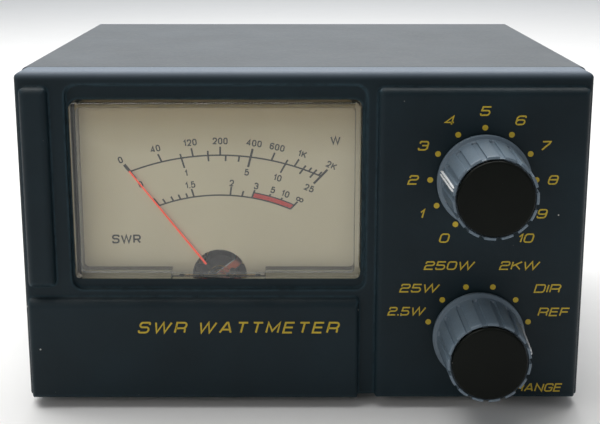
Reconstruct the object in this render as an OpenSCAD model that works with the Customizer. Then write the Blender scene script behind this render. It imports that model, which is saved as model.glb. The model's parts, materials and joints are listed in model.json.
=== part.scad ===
// Bench SWR meter: sheet-steel case, moulded front, moving-coil meter, calibration and range knobs,
// two coaxial sockets behind. Front faces -Y, +X is right, +Z is up, origin under the middle of it.

/* [Case] */
// Width of the case
body_w = 155; // [152:1:160]
// Height of the case without its feet
body_h = 92; // [91:1:96]
// Depth of the case without knobs and sockets
body_d = 130; // [126:1:150]
// Thickness of the sheet steel
sheet = 1.2; // [1:0.1:1.5]
// Height of the rubber feet
foot_h = 3; // [2.5:0.5:6]

/* [Front] */
// Depth of the moulded bezel from its front plane to the seam
bezel_d = 12; // [11:0.5:13]
// How far the raised pads stand out of the bezel
relief = 2.5; // [2:0.1:2.8]
// Width of the clear meter window
window_w = 78.5; // [77:0.5:79]
// Height of the clear meter window
window_h = 49.4; // [48:0.2:50]

/* [Meter] */
// Length of the needle from its pivot
needle_len = 40; // [36:1:42]
// Needle angle at rest, from straight up, clockwise positive
needle_rest = -37.8; // [-40:0.1:-30]

/* [Controls] */
// Radius of a knob's skirt
skirt_r = 12.7; // [12:0.1:13]
// Height of a knob's face from the front plane
knob_h = 21; // [20:0.5:24]
// Number of flutes round a knob
flutes = 15; // [10:1:18]
// Calibration pointer angle at rest, from straight up, clockwise positive
cal_rest = -78; // [-150:1:150]
// Range pointer angle at rest, from straight up, clockwise positive
range_rest = 75; // [-75:30:75]

/* [Sockets] */
// Distance between the two coaxial sockets
socket_pitch = 60; // [54:1:64]
// Height of the sockets above the underside of the case
socket_z = 46; // [42:1:50]
// Outer radius of a socket's threaded barrel
barrel_r = 7.94; // [7.9:0.01:8]

/* [Hidden] */
$fn = 64;
socket_out = 18;
front_y = -(body_d + knob_h + socket_out) / 2 + knob_h;
rear_y = front_y + body_d;
base_z = foot_h;
seam = 0.4;
fit_gap = 0.3;
inner_w = body_w - 2 * (sheet + fit_gap);
inner_h = body_h - 2 * (sheet + fit_gap);
lip = 1.2;
wall_in = -6.5;
pad_wall = 2.6;
recess_floor = -4;
window_x = -23.65;
window_z = 59.3;
window_wall = 1.6;
window_front = -1;
flange_front = -6.6;
flange_back = -8.6;
meter_w = 81;
meter_h = 68;
meter_z = 52;
pivot_z = 32;
dial_face = -9.6;
dial_t = 0.8;
case_back = -26.6;
core_r = 5.2;
ring_in = 7.5;
ring_out = 10.6;
ring_front = -6;
ring_len = 10;
post_x = 9.05;
post_r = 0.9;
staff_r = 0.6;
jewel_r = 1.2;
lever_arm = 8;
zero_pin_offset = 1;
control_x = 48.3;
cal_z = 63.1;
range_z = 19;
shaft_r = 3;
shaft_run = 3.04;
pot_thread_r = 3.5;
switch_thread_r = 4.7;
wafer_front = -14;
screw_r = 1.5;
head_r = 2.8;
head_h = 1.8;
contact_bore_r = 2;
flange_pitch = 18.2;
trough_half = 13;
trough_d = 21;
board_x = -18;
board_w = 80;
board_front = 52;
board_d = 46;
board_top = 9.6;

PLASTIC = [0.10, 0.13, 0.15];
PAINT = [0.38, 0.41, 0.44];
STEEL = [0.66, 0.67, 0.69];
BRASS = [0.78, 0.63, 0.32];
COPPER = [0.72, 0.36, 0.20];
KNOB_GREY = [0.40, 0.46, 0.52];
BLACK = [0.03, 0.03, 0.03];
WHITE = [0.93, 0.93, 0.92];

// ---- places ----

// Local +Z points out of the front at height z above the underside of the case
module panel(x, z, out = 0) {
    translate([x, front_y - out, base_z + z]) rotate([90, 0, 0]) children();
}

// Local +Z points out of the rear wall
module rear(x, z) {
    translate([x, rear_y, base_z + z]) rotate([90, 0, 180]) children();
}

// Local origin on the pivot, in the dial's front face
module movement() {
    panel(window_x, pivot_z, dial_face) children();
}

// Turns with the needle: local +Y runs along it
module on_needle() {
    movement() rotate([0, 0, -needle_rest]) children();
}

module cal_axis() {
    panel(control_x, cal_z) children();
}

module range_axis() {
    panel(control_x, range_z) children();
}

// A point inside the case: x, distance behind the front plane, height above the underside
function inside(x, d, z) = [x, front_y + d, base_z + z];

// ---- shapes ----

// Rectangle with rounded corners, one radius above and one below
module plate_outline(w, h, top_r, low_r) {
    square([w - 2 * max(top_r, low_r), h], center = true);
    translate([-w / 2, -h / 2 + low_r]) square([w, h - top_r - low_r]);
    for (s = [-1, 1]) {
        translate([s * (w / 2 - top_r), h / 2 - top_r]) circle(top_r);
        translate([s * (w / 2 - low_r), -h / 2 + low_r]) circle(low_r);
    }
    // fill beside the smaller pair of corners
    corner = min(top_r, low_r);
    outer = max(top_r, low_r);
    edge = top_r < low_r ? h / 2 : -h / 2;
    if (outer > corner) for (s = [-1, 1])
        translate([s * (w / 2 - (outer + corner) / 2), edge - sign(edge) * corner / 2])
            square([outer - corner, corner], center = true);
}

// Side view of a slab w wide and d thick whose front edges are rounded by a and b
module crown(w, d, a, b) {
    translate([-w / 2 + a, 0]) square([w - a - b, d]);
    translate([-w / 2, 0]) square([2 * a, d - a]);
    translate([w / 2 - 2 * b, 0]) square([2 * b, d - b]);
    translate([-w / 2 + a, d - a]) circle(a);
    translate([w / 2 - b, d - b]) circle(b);
}

// Slab on z = 0 with rounded front edges: side radius s, top radius t, bottom radius b
module soft_pad(w, h, d, s, t, b, corner) {
    intersection() {
        linear_extrude(d) plate_outline(w, h, corner[0], corner[1]);
        rotate([90, 0, 0]) translate([0, 0, -h]) linear_extrude(2 * h) crown(w, d, s, s);
        rotate([90, 0, 90]) translate([0, 0, -w]) linear_extrude(2 * w) crown(h, d, b, t);
    }
}

module ring(outer, inner, h) {
    difference() {
        cylinder(r = outer, h = h);
        translate([0, 0, -1]) cylinder(r = inner, h = h + 2);
    }
}

// Pan-head screw, head on z = 0 and shank down to -length
module pan_screw(length) {
    difference() {
        union() {
            cylinder(r = head_r, h = head_h * 0.6);
            translate([0, 0, head_h * 0.6]) cylinder(r1 = head_r, r2 = head_r * 0.7, h = head_h * 0.4);
            translate([0, 0, -length]) cylinder(r = screw_r, h = length + 0.1);
        }
        for (a = [0, 90]) rotate([0, 0, a])
            translate([-head_r * 0.55, -0.35, head_h * 0.45]) cube([head_r * 1.1, 0.7, head_h]);
    }
}

module hex_nut(across, bore, h) {
    difference() {
        cylinder(r = across / 2 / cos(30), h = h, $fn = 6);
        translate([0, 0, -1]) cylinder(r = bore, h = h + 2);
    }
}

module box_at(x0, x1, y0, y1, z0, z1) {
    translate([x0, y0, z0]) cube([x1 - x0, y1 - y0, z1 - z0]);
}

// A lead swept along hand-set points
function unit(v) = v / norm(v);
function blend(p, i, t) =
    let (a = p[max(i - 1, 0)], b = p[i], c = p[i + 1], d = p[min(i + 2, len(p) - 1)])
    0.5 * ((2 * b) + (c - a) * t + (2 * a - 5 * b + 4 * c - d) * t * t + (3 * b - a - 3 * c + d) * t * t * t);

module lead(points, r) {
    sides = 8;
    steps = 4;
    last = (len(points) - 1) * steps;
    path = [for (k = [0:last]) k == last ? points[len(points) - 1]
            : blend(points, floor(k / steps), (k % steps) / steps)];
    side_ref = unit([1, 0.31, 0.17]);
    verts = [for (k = [0:last])
        let (t = unit(path[min(k + 1, last)] - path[max(k - 1, 0)]),
             a = unit(cross(t, side_ref)), b = cross(t, a))
        for (j = [0:sides - 1]) path[k] + r * (cos(360 * j / sides) * a + sin(360 * j / sides) * b)];
    skin = [for (k = [0:last - 1]) for (j = [0:sides - 1])
        [k * sides + j, k * sides + (j + 1) % sides,
         (k + 1) * sides + (j + 1) % sides, (k + 1) * sides + j]];
    near_end = [[for (j = [0:sides - 1]) sides - 1 - j]];
    far_end = [[for (j = [0:sides - 1]) last * sides + j]];
    polyhedron(points = verts, faces = concat(near_end, skin, far_end));
}

// ---- case ----

// Raised pad with its middle at (x, z)
module raised(x, z, w, h, s, t, b, corner) {
    root = 1.5;
    panel(x, z, -relief - root) soft_pad(w, h, relief + root, s, t, b, corner);
}

// Posts on the inside of the moulding, which the strap's and the chassis tabs' screws enter
strap_posts = [[-70.5, 62], [23.5, 62]];
tab_posts = [[-68, 9], [69.5, 9]];

module bezel_posts() difference() {
    union() {
        for (p = strap_posts) panel(p[0], p[1], -16) cylinder(r = 3, h = 16 + wall_in + 0.5);
        for (p = tab_posts) panel(p[0], p[1], -17.4) cylinder(r = 3.2, h = 17.4 + wall_in + 0.5);
    }
    for (p = strap_posts) panel(p[0], p[1], -17) cylinder(r = screw_r, h = 9);
    for (p = tab_posts) panel(p[0], p[1], -18) cylinder(r = screw_r, h = 9);
}

module bezel_shell() difference() {
    union() {
        panel(0, body_h / 2, -bezel_d)
            soft_pad(body_w, body_h, bezel_d - relief, 1.8, 2, 0.8, [2.5, 0.8]);
        panel(0, body_h / 2, -bezel_d - 5) linear_extrude(6) plate_outline(inner_w, inner_h, 1.5, 0.8);
        // upright bar, lower plate and control panel
        raised(-72.1, 60.2, 7.6, 55.6, 1.9, 2, 1.9, [1.8, 1.8]);
        raised(-30.5, 14.6, 91.6, 29, 1.2, 2.4, 0.5, [1.2, 0.8]);
        raised(48.1, 44.1, 56.4, 87.6, 1.6, 1.8, 0.5, [1.6, 0.8]);
    }
    // hollow behind the front wall, and pockets behind the plate and the panel
    panel(0, body_h / 2, -bezel_d - 6)
        linear_extrude(bezel_d + 6 + wall_in) plate_outline(inner_w - 2 * lip, inner_h - 2 * lip, 1, 0.5);
    panel(-30.5, 15, -bezel_d) linear_extrude(bezel_d - pad_wall) square([86, 22], center = true);
    panel(48.1, 44.1, -bezel_d) linear_extrude(bezel_d - pad_wall) square([51, 81.6], center = true);
    // recess and opening for the window
    panel(-23.5, 59.8, recess_floor) linear_extrude(4) plate_outline(81, 57.2, 3, 3);
    panel(window_x, window_z, -bezel_d)
        linear_extrude(bezel_d) plate_outline(window_w + 0.6, window_h + 0.6, 2.5, 2.5);
    // holes for the two bushings
    panel(control_x, cal_z, -bezel_d) cylinder(r = pot_thread_r + 0.1, h = 2 * bezel_d);
    panel(control_x, range_z, -bezel_d) cylinder(r = switch_thread_r + 0.1, h = 2 * bezel_d);
}

module front_bezel() color(PLASTIC) union() {
    bezel_shell();
    bezel_posts();
}

side_screws = [30, 108];

module top_cover() color(PAINT) difference() {
    length = body_d - bezel_d - seam;
    panel(0, body_h / 2, -body_d) linear_extrude(length) difference() {
        plate_outline(body_w, body_h, 1.6, 0.4);
        translate([0, -sheet]) plate_outline(body_w - 2 * sheet, body_h, 0.5, 0.4);
    }
    for (s = [-1, 1], d = side_screws)
        translate(inside(s * body_w / 2, d, 7)) rotate([0, 90, 0])
            translate([0, 0, -3]) cylinder(r = screw_r, h = 6);
}

module chassis() color(STEEL) difference() {
    y0 = front_y + bezel_d + seam;
    half = inner_w / 2;
    z0 = base_z;
    flange_h = 12;
    union() {
        box_at(-half, half, y0, rear_y, z0, z0 + sheet);
        for (s = [-1, 1])
            box_at(s * (half - sheet / 2) - sheet / 2, s * (half - sheet / 2) + sheet / 2,
                   y0 + 8, rear_y, z0, z0 + flange_h);
        box_at(-half, half, rear_y - sheet, rear_y, z0, z0 + body_h - sheet - fit_gap);
        for (p = tab_posts)
            box_at(p[0] - 4.8, p[0] + 4.8, front_y + 17.4, front_y + 17.4 + sheet, z0, z0 + 15);
    }
    for (s = [-1, 1], d = side_screws)
        translate(inside(s * body_w / 2, d, 7)) rotate([0, 90, 0])
            translate([0, 0, -5]) cylinder(r = screw_r, h = 10);
    for (p = tab_posts) panel(p[0], p[1], -20) cylinder(r = screw_r, h = 5);
    for (f = foot_places) translate([f[0], f[1], 0]) cylinder(r = screw_r, h = 10);
    for (s = [-1, 1]) rear(s * socket_pitch / 2, socket_z) {
        translate([0, 0, -5]) cylinder(r = barrel_r - 0.05, h = 10);
        for (a = [-1, 1], b = [-1, 1])
            translate([a * flange_pitch / 2, b * flange_pitch / 2, -5]) cylinder(r = screw_r, h = 10);
    }
}

foot_r = 6;
foot_places = [for (x = [-1, 1], y = [front_y + 26, rear_y - 16]) [x * 62, y]];

module feet() color(BLACK) for (f = foot_places) translate([f[0], f[1], 0]) difference() {
    union() {
        cylinder(r1 = foot_r - 0.6, r2 = foot_r, h = 1);
        translate([0, 0, 1]) cylinder(r = foot_r, h = foot_h - 1);
    }
    translate([0, 0, -1]) cylinder(r = screw_r, h = foot_h + 2);
    translate([0, 0, -1]) cylinder(r = head_r + 0.3, h = foot_h);
}

module case_screws() color(STEEL) {
    for (s = [-1, 1], d = side_screws)
        translate(inside(s * body_w / 2, d, 7)) rotate([0, s * 90, 0]) pan_screw(5);
    for (f = foot_places) translate([f[0], f[1], foot_h - 1]) rotate([180, 0, 0]) pan_screw(5);
}

module inner_screws() color(STEEL) {
    for (p = strap_posts) panel(p[0], p[1], -17) rotate([180, 0, 0]) pan_screw(7);
    for (p = tab_posts) panel(p[0], p[1], -17.4 - sheet) rotate([180, 0, 0]) pan_screw(7);
    for (b = board_holes) translate(inside(b[0], b[1], board_top)) pan_screw(8.4);
}

// ---- meter ----

module meter_window() color([0.85, 0.92, 0.95, 0.35]) difference() {
    union() {
        panel(window_x, window_z, flange_back)
            soft_pad(window_w, window_h, window_front - flange_back, 1, 1, 1, [2.2, 2.2]);
        panel(window_x, meter_z, flange_back)
            linear_extrude(flange_front - flange_back) plate_outline(meter_w, meter_h, 2, 2);
    }
    panel(window_x, window_z, flange_back - 1)
        linear_extrude(window_front - 2 - flange_back + 1)
            plate_outline(window_w - 2 * window_wall, window_h - 2 * window_wall, 1.2, 1.2);
    // room for the front bridge under the window
    movement() translate([0, 0, 0.5]) linear_extrude(6) translate([0, -1]) square([26, 12], center = true);
}

module meter_case() color(BLACK) difference() {
    depth = flange_back - dial_face;
    union() {
        difference() {
            panel(window_x, meter_z, dial_face + case_back)
                linear_extrude(depth - case_back) plate_outline(meter_w, meter_h, 2, 2);
            panel(window_x, meter_z, dial_face + case_back + window_wall)
                linear_extrude(depth - case_back) plate_outline(meter_w - 3.2, meter_h - 3.2, 1, 1);
        }
        for (s = [-1, 1]) movement() translate([s * 32, -6, case_back + 1])
            cylinder(r = 3.2, h = -dial_t - case_back - 1);
    }
    for (s = [-1, 1]) movement() translate([s * 32, -6, -8]) cylinder(r = 1, h = 9);
    for (s = [-1, 1]) movement() translate([s * 26, 14, case_back - 1]) cylinder(r = screw_r, h = 5);
    movement() translate([0, -lever_arm - zero_pin_offset, case_back - 1]) cylinder(r = 2.04, h = 5);
}

module meter_strap() color(STEEL) {
    half = 8;
    back = dial_face + case_back - 1;
    left = window_x - meter_w / 2 - 1.2;
    right = window_x + meter_w / 2 + 1.2;
    difference() {
        union() {
            panel(window_x, 62) box_at(left - 1 - window_x, right + 1 - window_x, -half / 2, half / 2, back, back + 1);
            panel(0, 62) box_at(left - 1, left, -half / 2, half / 2, back, -16);
            panel(0, 62) box_at(right, right + 1, -half / 2, half / 2, back, -16);
            panel(0, 62) box_at(strap_posts[0][0] - 4, left, -half / 2, half / 2, -17, -16);
            panel(0, 62) box_at(right, strap_posts[1][0] + 4, -half / 2, half / 2, -17, -16);
        }
        for (p = strap_posts) panel(p[0], p[1], -18) cylinder(r = screw_r, h = 3);
    }
}

module dial_plate() color([0.90, 0.86, 0.74]) movement() difference() {
    translate([0, meter_z - pivot_z, -dial_t]) linear_extrude(dial_t)
        plate_outline(meter_w - 3.8, meter_h - 3.8, 1, 1);
    translate([0, 1.1, -2]) cylinder(r = 7.7, h = 4);
    translate([0, -8, -2]) linear_extrude(4) square([23, 19.2], center = true);
    for (s = [-1, 1]) translate([s * 32, -6, -2]) cylinder(r = 1, h = 4);
}

module dial_screws() color(BRASS) for (s = [-1, 1]) movement() translate([s * 32, -6, 0]) difference() {
    union() {
        cylinder(r = 1.9, h = 0.9);
        translate([0, 0, -6]) cylinder(r = 1, h = 6.1);
    }
    translate([-2, -0.25, 0.5]) cube([4, 0.5, 1]);
}

module return_ring() color(STEEL) movement() translate([0, 0, ring_front - ring_len]) difference() {
    union() {
        ring(ring_out, ring_in, ring_len);
        for (s = [-1, 1]) translate([0, s * 6.6, 5]) cube([2, 3, 2], center = true);
    }
    translate([0, 0, -1]) cylinder(r = core_r, h = ring_len + 2);
    for (s = [-1, 1]) translate([s * post_x, 0, -1]) cylinder(r = post_r, h = ring_len + 2);
}

module magnet_core() color([0.35, 0.35, 0.37]) movement()
    translate([0, 0, ring_front - ring_len]) cylinder(r = core_r, h = ring_len);

front_bridge = [1.7, 2.6];
rear_bridge = [-21.5, -20.6];
jewel_front = 1.5;
jewel_rear = -20.4;

module bearing_bridges() color(BRASS) movement() for (b = [front_bridge, rear_bridge]) {
    translate([0, 0, b[0]]) difference() {
        linear_extrude(b[1] - b[0]) plate_outline(21.4, 4.2, 1.5, 1.5);
        translate([0, 0, -1]) cylinder(r = jewel_r, h = 3);
        for (s = [-1, 1]) translate([s * post_x, 0, -1]) cylinder(r = post_r, h = 3);
    }
}

module jewel_screws() color(STEEL) movement() {
    difference() {
        translate([0, 0, jewel_front]) cylinder(r = jewel_r, h = front_bridge[1] - jewel_front);
        translate([-2, -0.2, front_bridge[1] - 0.4]) cube([4, 0.4, 1]);
    }
    translate([0, 0, -22.8]) cylinder(r = jewel_r, h = 22.8 + jewel_rear);
}

module movement_posts() color(BRASS) movement() for (s = [-1, 1])
    translate([s * post_x, 0, case_back + window_wall]) cylinder(r = post_r, h = front_bridge[1] - case_back - window_wall);

module coil_former() color([0.80, 0.81, 0.83]) on_needle() difference() {
    box_at(-5.9, 5.9, -1.2, 1.2, -17.5, -4.5);
    box_at(-5.6, 5.6, -2, 2, -17.2, -4.8);
}

module coil_winding() color(COPPER) on_needle() difference() {
    box_at(-6.8, 6.8, -1, 1, -18.3, -3.7);
    box_at(-5.9, 5.9, -2, 2, -17.5, -4.5);
}

module pivot_staffs() color(STEEL) on_needle() {
    rotate_extrude() polygon([[0, -3.7], [staff_r, -3.7], [staff_r, 0.95], [0, 1.45]]);
    rotate_extrude() polygon([[0, -18.3], [staff_r, -18.3], [staff_r, -19.85], [0, -20.35]]);
}

needle_z = 0.55;
needle_t = 0.3;
paint_start = 6;

module needle() color([0.95, 0.20, 0.12]) on_needle() translate([0, 0, needle_z]) linear_extrude(needle_t)
    polygon([[-0.26, paint_start], [0.26, paint_start], [0.18, needle_len], [-0.18, needle_len]]);

module needle_hub() color([0.55, 0.55, 0.56]) on_needle() difference() {
    tail = 6.2;
    arm = 4.6;
    translate([0, 0, needle_z]) union() {
        cylinder(r = 1.5, h = needle_t);
        linear_extrude(needle_t) polygon([[-0.6, 0], [0.6, 0], [0.26, paint_start], [-0.26, paint_start]]);
        box_at(-0.3, 0.3, -tail, 0, 0, needle_t);
        box_at(-arm, arm, -0.3, 0.3, 0, needle_t);
        for (p = [[0, -tail], [-arm, 0], [arm, 0]]) translate([p[0], p[1], -0.15]) cylinder(r = 0.8, h = 0.6);
    }
    translate([0, 0, -1]) cylinder(r = staff_r, h = 3);
}

// One flat spiral strip, inner end on the staff
module hairspring() {
    turns = 3;
    per_turn = 20;
    grow = (4.2 - staff_r) / turns;
    strip = 0.12;
    last = turns * per_turn;
    function turn_r(i) = staff_r + grow * i / per_turn;
    function at(i, extra) = (turn_r(i) + extra) * [cos(360 * i / per_turn), sin(360 * i / per_turn)];
    inner = [for (i = [0:last]) at(i, 0)];
    outer = [for (i = [last:-1:0]) at(i, strip)];
    linear_extrude(0.5) polygon(concat(inner, outer));
}

module hairsprings() color(BRASS) on_needle() {
    for (z = [-2.9, -19.3]) translate([0, 0, z]) difference() {
        hairspring();
        translate([0, 0, -1]) cylinder(r = staff_r, h = 3);
    }
}

module zero_lever() color(BRASS) movement() translate([0, 0, -22.4]) difference() {
    union() {
        cylinder(r = 2.4, h = 0.6);
        box_at(-1.6, 1.6, -9.4, 0, 0, 0.6);
    }
    translate([0, 0, -1]) cylinder(r = jewel_r + 0.05, h = 3);
    box_at(-0.8, 0.8, -10, -6.8, -1, 2);
}

module zero_screw() color(WHITE) movement() translate([0, -lever_arm - zero_pin_offset, 0]) difference() {
    union() {
        translate([0, zero_pin_offset, -23.6]) cylinder(r = 0.5, h = 1.9);
        translate([0, 0, case_back - 0.4]) cylinder(r = 2, h = -23.5 - case_back + 0.4);
        translate([0, 0, case_back - 1.8]) cylinder(r = 3.2, h = 1.5);
    }
    translate([-4, -0.4, case_back - 2.2]) cube([8, 0.8, 1.2]);
}

module terminal_studs() color(BRASS) for (s = [-1, 1]) movement() translate([s * 26, 14, 0]) {
    translate([0, 0, case_back - 9.4]) cylinder(r = screw_r, h = 9.4 + window_wall + 0.1);
    translate([0, 0, case_back + window_wall]) cylinder(r = 3, h = 1.4);
}

module terminal_nuts() color(BRASS) for (s = [-1, 1]) movement() translate([s * 26, 14, case_back]) {
    translate([0, 0, -2.4]) hex_nut(5.5, screw_r, 2.4);
    translate([0, 0, -3]) ring(3.4, screw_r, 0.6);
    translate([0, 0, -5.4]) hex_nut(5.5, screw_r, 2.4);
}

// ---- knobs ----

body_low_r = 11.6;
body_top_r = 11;
cap_r = 10;
cap_seat = knob_h - 1.8;
hub_z = 5.2;
hollow_top = 15;

module knob_body(rest) {
    lift = 0.8;
    skirt_t = 1.9;
    front = knob_h - 0.9;
    rotate([0, 0, -rest]) difference() {
        rotate_extrude() polygon([
            [shaft_r, hub_z], [5.2, hub_z], [5.2, hollow_top], [9.6, hollow_top], [9.8, lift],
            [skirt_r - 0.2, lift], [skirt_r, lift + 0.3], [skirt_r, lift + skirt_t - 0.5],
            [skirt_r - 0.4, lift + skirt_t], [body_low_r, lift + skirt_t + 0.15],
            [body_top_r, front - 0.5], [body_top_r - 0.5, front], [cap_r + 0.06, front],
            [cap_r + 0.06, cap_seat], [shaft_r, cap_seat]]);
        lean = atan((body_low_r - body_top_r) / (front - lift));
        for (i = [1:flutes]) rotate([0, 0, (i - 0.5) * 360 / flutes])
            translate([0, body_low_r + 0.2, lift + skirt_t + 1.4]) rotate([lean, 0, 0])
                cylinder(r = 0.75, h = knob_h, $fn = 24);
        translate([-0.5, body_top_r - 1, lift + skirt_t]) cube([1, 3, knob_h]);
    }
}

module knob_cap() translate([0, 0, cap_seat]) rotate_extrude() polygon([
    [0, 0], [cap_r, 0], [cap_r, 1.3], [cap_r - 0.15, 1.6], [cap_r - 0.5, 1.78], [cap_r - 1.2, 1.8], [0, 1.8]]);

// White inlay that fills the pointer slot and stands a little proud of the body
module knob_pointer(rest) {
    low = 2.7;
    proud = 0.35;
    front = knob_h - 0.9;
    inlay_in = body_top_r - 1;
    rotate([0, 0, -rest]) difference() {
        rotate([90, 0, 90]) translate([0, 0, -0.5]) linear_extrude(1) polygon([
            [inlay_in, low], [body_low_r + proud, low], [body_low_r + proud, low + 0.3],
            [body_top_r + proud, front - 0.3], [inlay_in, front]]);
        rotate([90, 0, 90]) translate([0, 0, -0.13]) linear_extrude(0.26) polygon([
            [body_low_r, low - 1], [body_low_r + 1, low - 1], [body_top_r + 1, front + 1], [body_top_r, front + 1]]);
        cylinder(r = cap_r + 0.06, h = 2 * knob_h);
    }
}

module cal_knob() color(KNOB_GREY) cal_axis() knob_body(cal_rest);
module cal_knob_cap() color(BLACK) cal_axis() knob_cap();
module cal_knob_pointer() color(WHITE) cal_axis() knob_pointer(cal_rest);
module range_knob() color(KNOB_GREY) range_axis() knob_body(range_rest);
module range_knob_cap() color(BLACK) range_axis() knob_cap();
module range_knob_pointer() color(WHITE) range_axis() knob_pointer(range_rest);

// ---- calibration potentiometer ----

module pot_bushing() color(BRASS) cal_axis() rotate_extrude() polygon([
    [shaft_run, -4], [6, -4], [6, -pad_wall], [pot_thread_r, -pad_wall], [pot_thread_r, 4.5], [shaft_run, 4.5]]);

module pot_can() color(STEEL) cal_axis() difference() {
    rotate_extrude() polygon([
        [6, -4], [6, -3.4], [8.2, -3.4], [8.2, -12.6], [0, -12.6], [0, -12.1], [7.7, -12.1], [7.7, -4]]);
    box_at(-6.5, 6.5, -10, -5, -11.4, -9.8);
}

module pot_track() color([0.45, 0.30, 0.16]) cal_axis() translate([0, 0, -11.2]) difference() {
    union() {
        cylinder(r = 7.7, h = 1.2);
        for (x = [-5, 0, 5]) translate([x - 0.8, -14, 0.3]) cube([1.6, 8, 0.6]);
    }
    translate([0, 0, -1]) cylinder(r = 2, h = 4);
}

module pot_wiper() color(WHITE) cal_axis() rotate([0, 0, -cal_rest]) difference() {
    union() {
        translate([0, 0, -8.8]) cylinder(r = 5.5, h = 2);
        box_at(-0.8, 0.8, 0, 6.6, -9.2, -8.7);
    }
    translate([0, 0, -10]) cylinder(r = shaft_r, h = 5);
}

module pot_shaft() color(STEEL) cal_axis() translate([0, 0, -8.8]) cylinder(r = shaft_r, h = 8.8 + 16);

// ---- range switch ----

tie_x = 11.6;
wafer_t = 1.5;

module switch_frame() color(STEEL) range_axis() difference() {
    union() {
        translate([0, 0, -3.8]) linear_extrude(3.8 - pad_wall) plate_outline(30, 24, 3, 3);
        translate([0, 0, -3.8]) cylinder(r = switch_thread_r, h = 8.3);
        for (s = [-1, 1]) translate([s * tie_x, 0, 0]) {
            translate([0, 0, -17.5]) cylinder(r = 1.25, h = 14);
            translate([0, 0, wafer_front]) cylinder(r = 2.2, h = -wafer_front - 3.7);
            translate([0, 0, -17.5]) cylinder(r = 2.2, h = 17.5 + wafer_front - wafer_t);
        }
    }
    translate([0, 0, -5]) cylinder(r = shaft_run, h = 12);
}

module switch_shaft() color(BRASS) range_axis() {
    translate([0, 0, -10]) cylinder(r = shaft_r, h = 26);
    translate([0, 0, -17]) rotate([0, 0, -range_rest]) box_at(-2, 2, -1, 1, 0, 7.1);
}

detent_notches = 12;

module detent_wheel() color(BRASS) range_axis() rotate([0, 0, -range_rest]) translate([0, 0, -7]) difference() {
    cylinder(r = 8, h = 2);
    translate([0, 0, -1]) cylinder(r = shaft_r, h = 4);
    for (i = [0:detent_notches - 1]) rotate([0, 0, i * 360 / detent_notches + range_rest])
        translate([0, 8.6, -1]) cylinder(r = 1.6, h = 4);
}

// Leaf whose nose points at a notch, drawn just clear of the wheel
module detent_spring() color(STEEL) range_axis() {
    translate([0, 9.25, -6.8]) cylinder(r = 0.9, h = 1.6);
    box_at(-6, 6, 9.9, 10.4, -6.8, -5.2);
    box_at(-7, -6, 9.9, 10.4, -6.8, -3.8);
}

module switch_wafer() color([0.55, 0.35, 0.18]) range_axis() translate([0, 0, wafer_front - wafer_t]) difference() {
    cylinder(r = 14.6, h = wafer_t);
    translate([0, 0, -1]) cylinder(r = 7, h = 4);
    for (s = [-1, 1]) translate([s * tie_x, 0, -1]) cylinder(r = 1.25, h = 4);
}

module switch_rotor() color(WHITE) range_axis() rotate([0, 0, -range_rest]) translate([0, 0, wafer_front - wafer_t]) difference() {
    union() {
        cylinder(r = 6.94, h = wafer_t);
        translate([0, 0, wafer_t]) linear_extrude(0.4) difference() {
            circle(6.4);
            circle(4.4);
            translate([-8, -8]) square([16, 10]);
        }
    }
    box_at(-2, 2, -1, 1, -1, 5);
}

// Halfway between the detents, which also keeps them off the tie rods
module switch_contacts() color(BRASS) range_axis() for (i = [0:11]) rotate([0, 0, 15 + i * 30])
    translate([0, 0, wafer_front]) {
        box_at(-0.6, 0.6, 7.8, 14, 0, 0.4);
        box_at(-0.6, 0.6, 13.5, 14, 0, 2.6);
    }

module pot_nut() color(STEEL) cal_axis() translate([0, 0, 0.5]) hex_nut(10, pot_thread_r, 2);
module switch_nut() color(STEEL) range_axis() translate([0, 0, 0.5]) hex_nut(13, switch_thread_r, 2.2);

module panel_washers() color(STEEL) {
    cal_axis() ring(6.4, pot_thread_r, 0.5);
    range_axis() ring(8.2, switch_thread_r, 0.5);
}

// ---- coaxial sockets and line section ----

module socket_shell() difference() {
    union() {
        linear_extrude(2) plate_outline(25.4, 25.4, 1.5, 1.5);
        translate([0, 0, -4]) cylinder(r = barrel_r - 0.1, h = 5);
        cylinder(r = barrel_r, h = socket_out);
    }
    translate([0, 0, -6]) cylinder(r = 5.9, h = 30);
    for (a = [-1, 1], b = [-1, 1])
        translate([a * flange_pitch / 2, b * flange_pitch / 2, -1]) cylinder(r = screw_r, h = 5);
    for (a = [0, 90]) rotate([0, 0, a + 45]) translate([-10, -0.8, socket_out - 1.4]) cube([20, 1.6, 3]);
}

module transmitter_socket() color(STEEL) rear(socket_pitch / 2, socket_z) socket_shell();
module antenna_socket() color(STEEL) rear(-socket_pitch / 2, socket_z) socket_shell();

module socket_insulators() color(WHITE) for (s = [-1, 1]) rear(s * socket_pitch / 2, socket_z)
    rotate_extrude() polygon([
        [1.2, -6], [5.9, -6], [5.9, 8], [3.6, 8], [3.6, 9.5], [2.6, 9.5], [2.6, 2], [1.2, 2]]);

line_z = -13;
line_r = 1.6;

module socket_contacts() color(BRASS) for (s = [-1, 1]) rear(s * socket_pitch / 2, socket_z)
    rotate_extrude() polygon([
        [0, line_z + line_r], [1.2, line_z + line_r], [1.2, 2], [2.6, 2], [2.6, 14],
        [2.3, 14.3], [contact_bore_r, 14.3], [contact_bore_r, 4.3], [0, 4.3]]);

module at_flange_holes() for (s = [-1, 1], a = [-1, 1], b = [-1, 1])
    rear(s * socket_pitch / 2, socket_z) translate([a * flange_pitch / 2, b * flange_pitch / 2, 0]) children();

module socket_screws() color(STEEL) at_flange_holes() translate([0, 0, 2]) pan_screw(8);

module socket_nuts() color(STEEL) at_flange_holes() translate([0, 0, -sheet - 1 - 2.2]) hex_nut(5.5, screw_r, 2.2);

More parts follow.
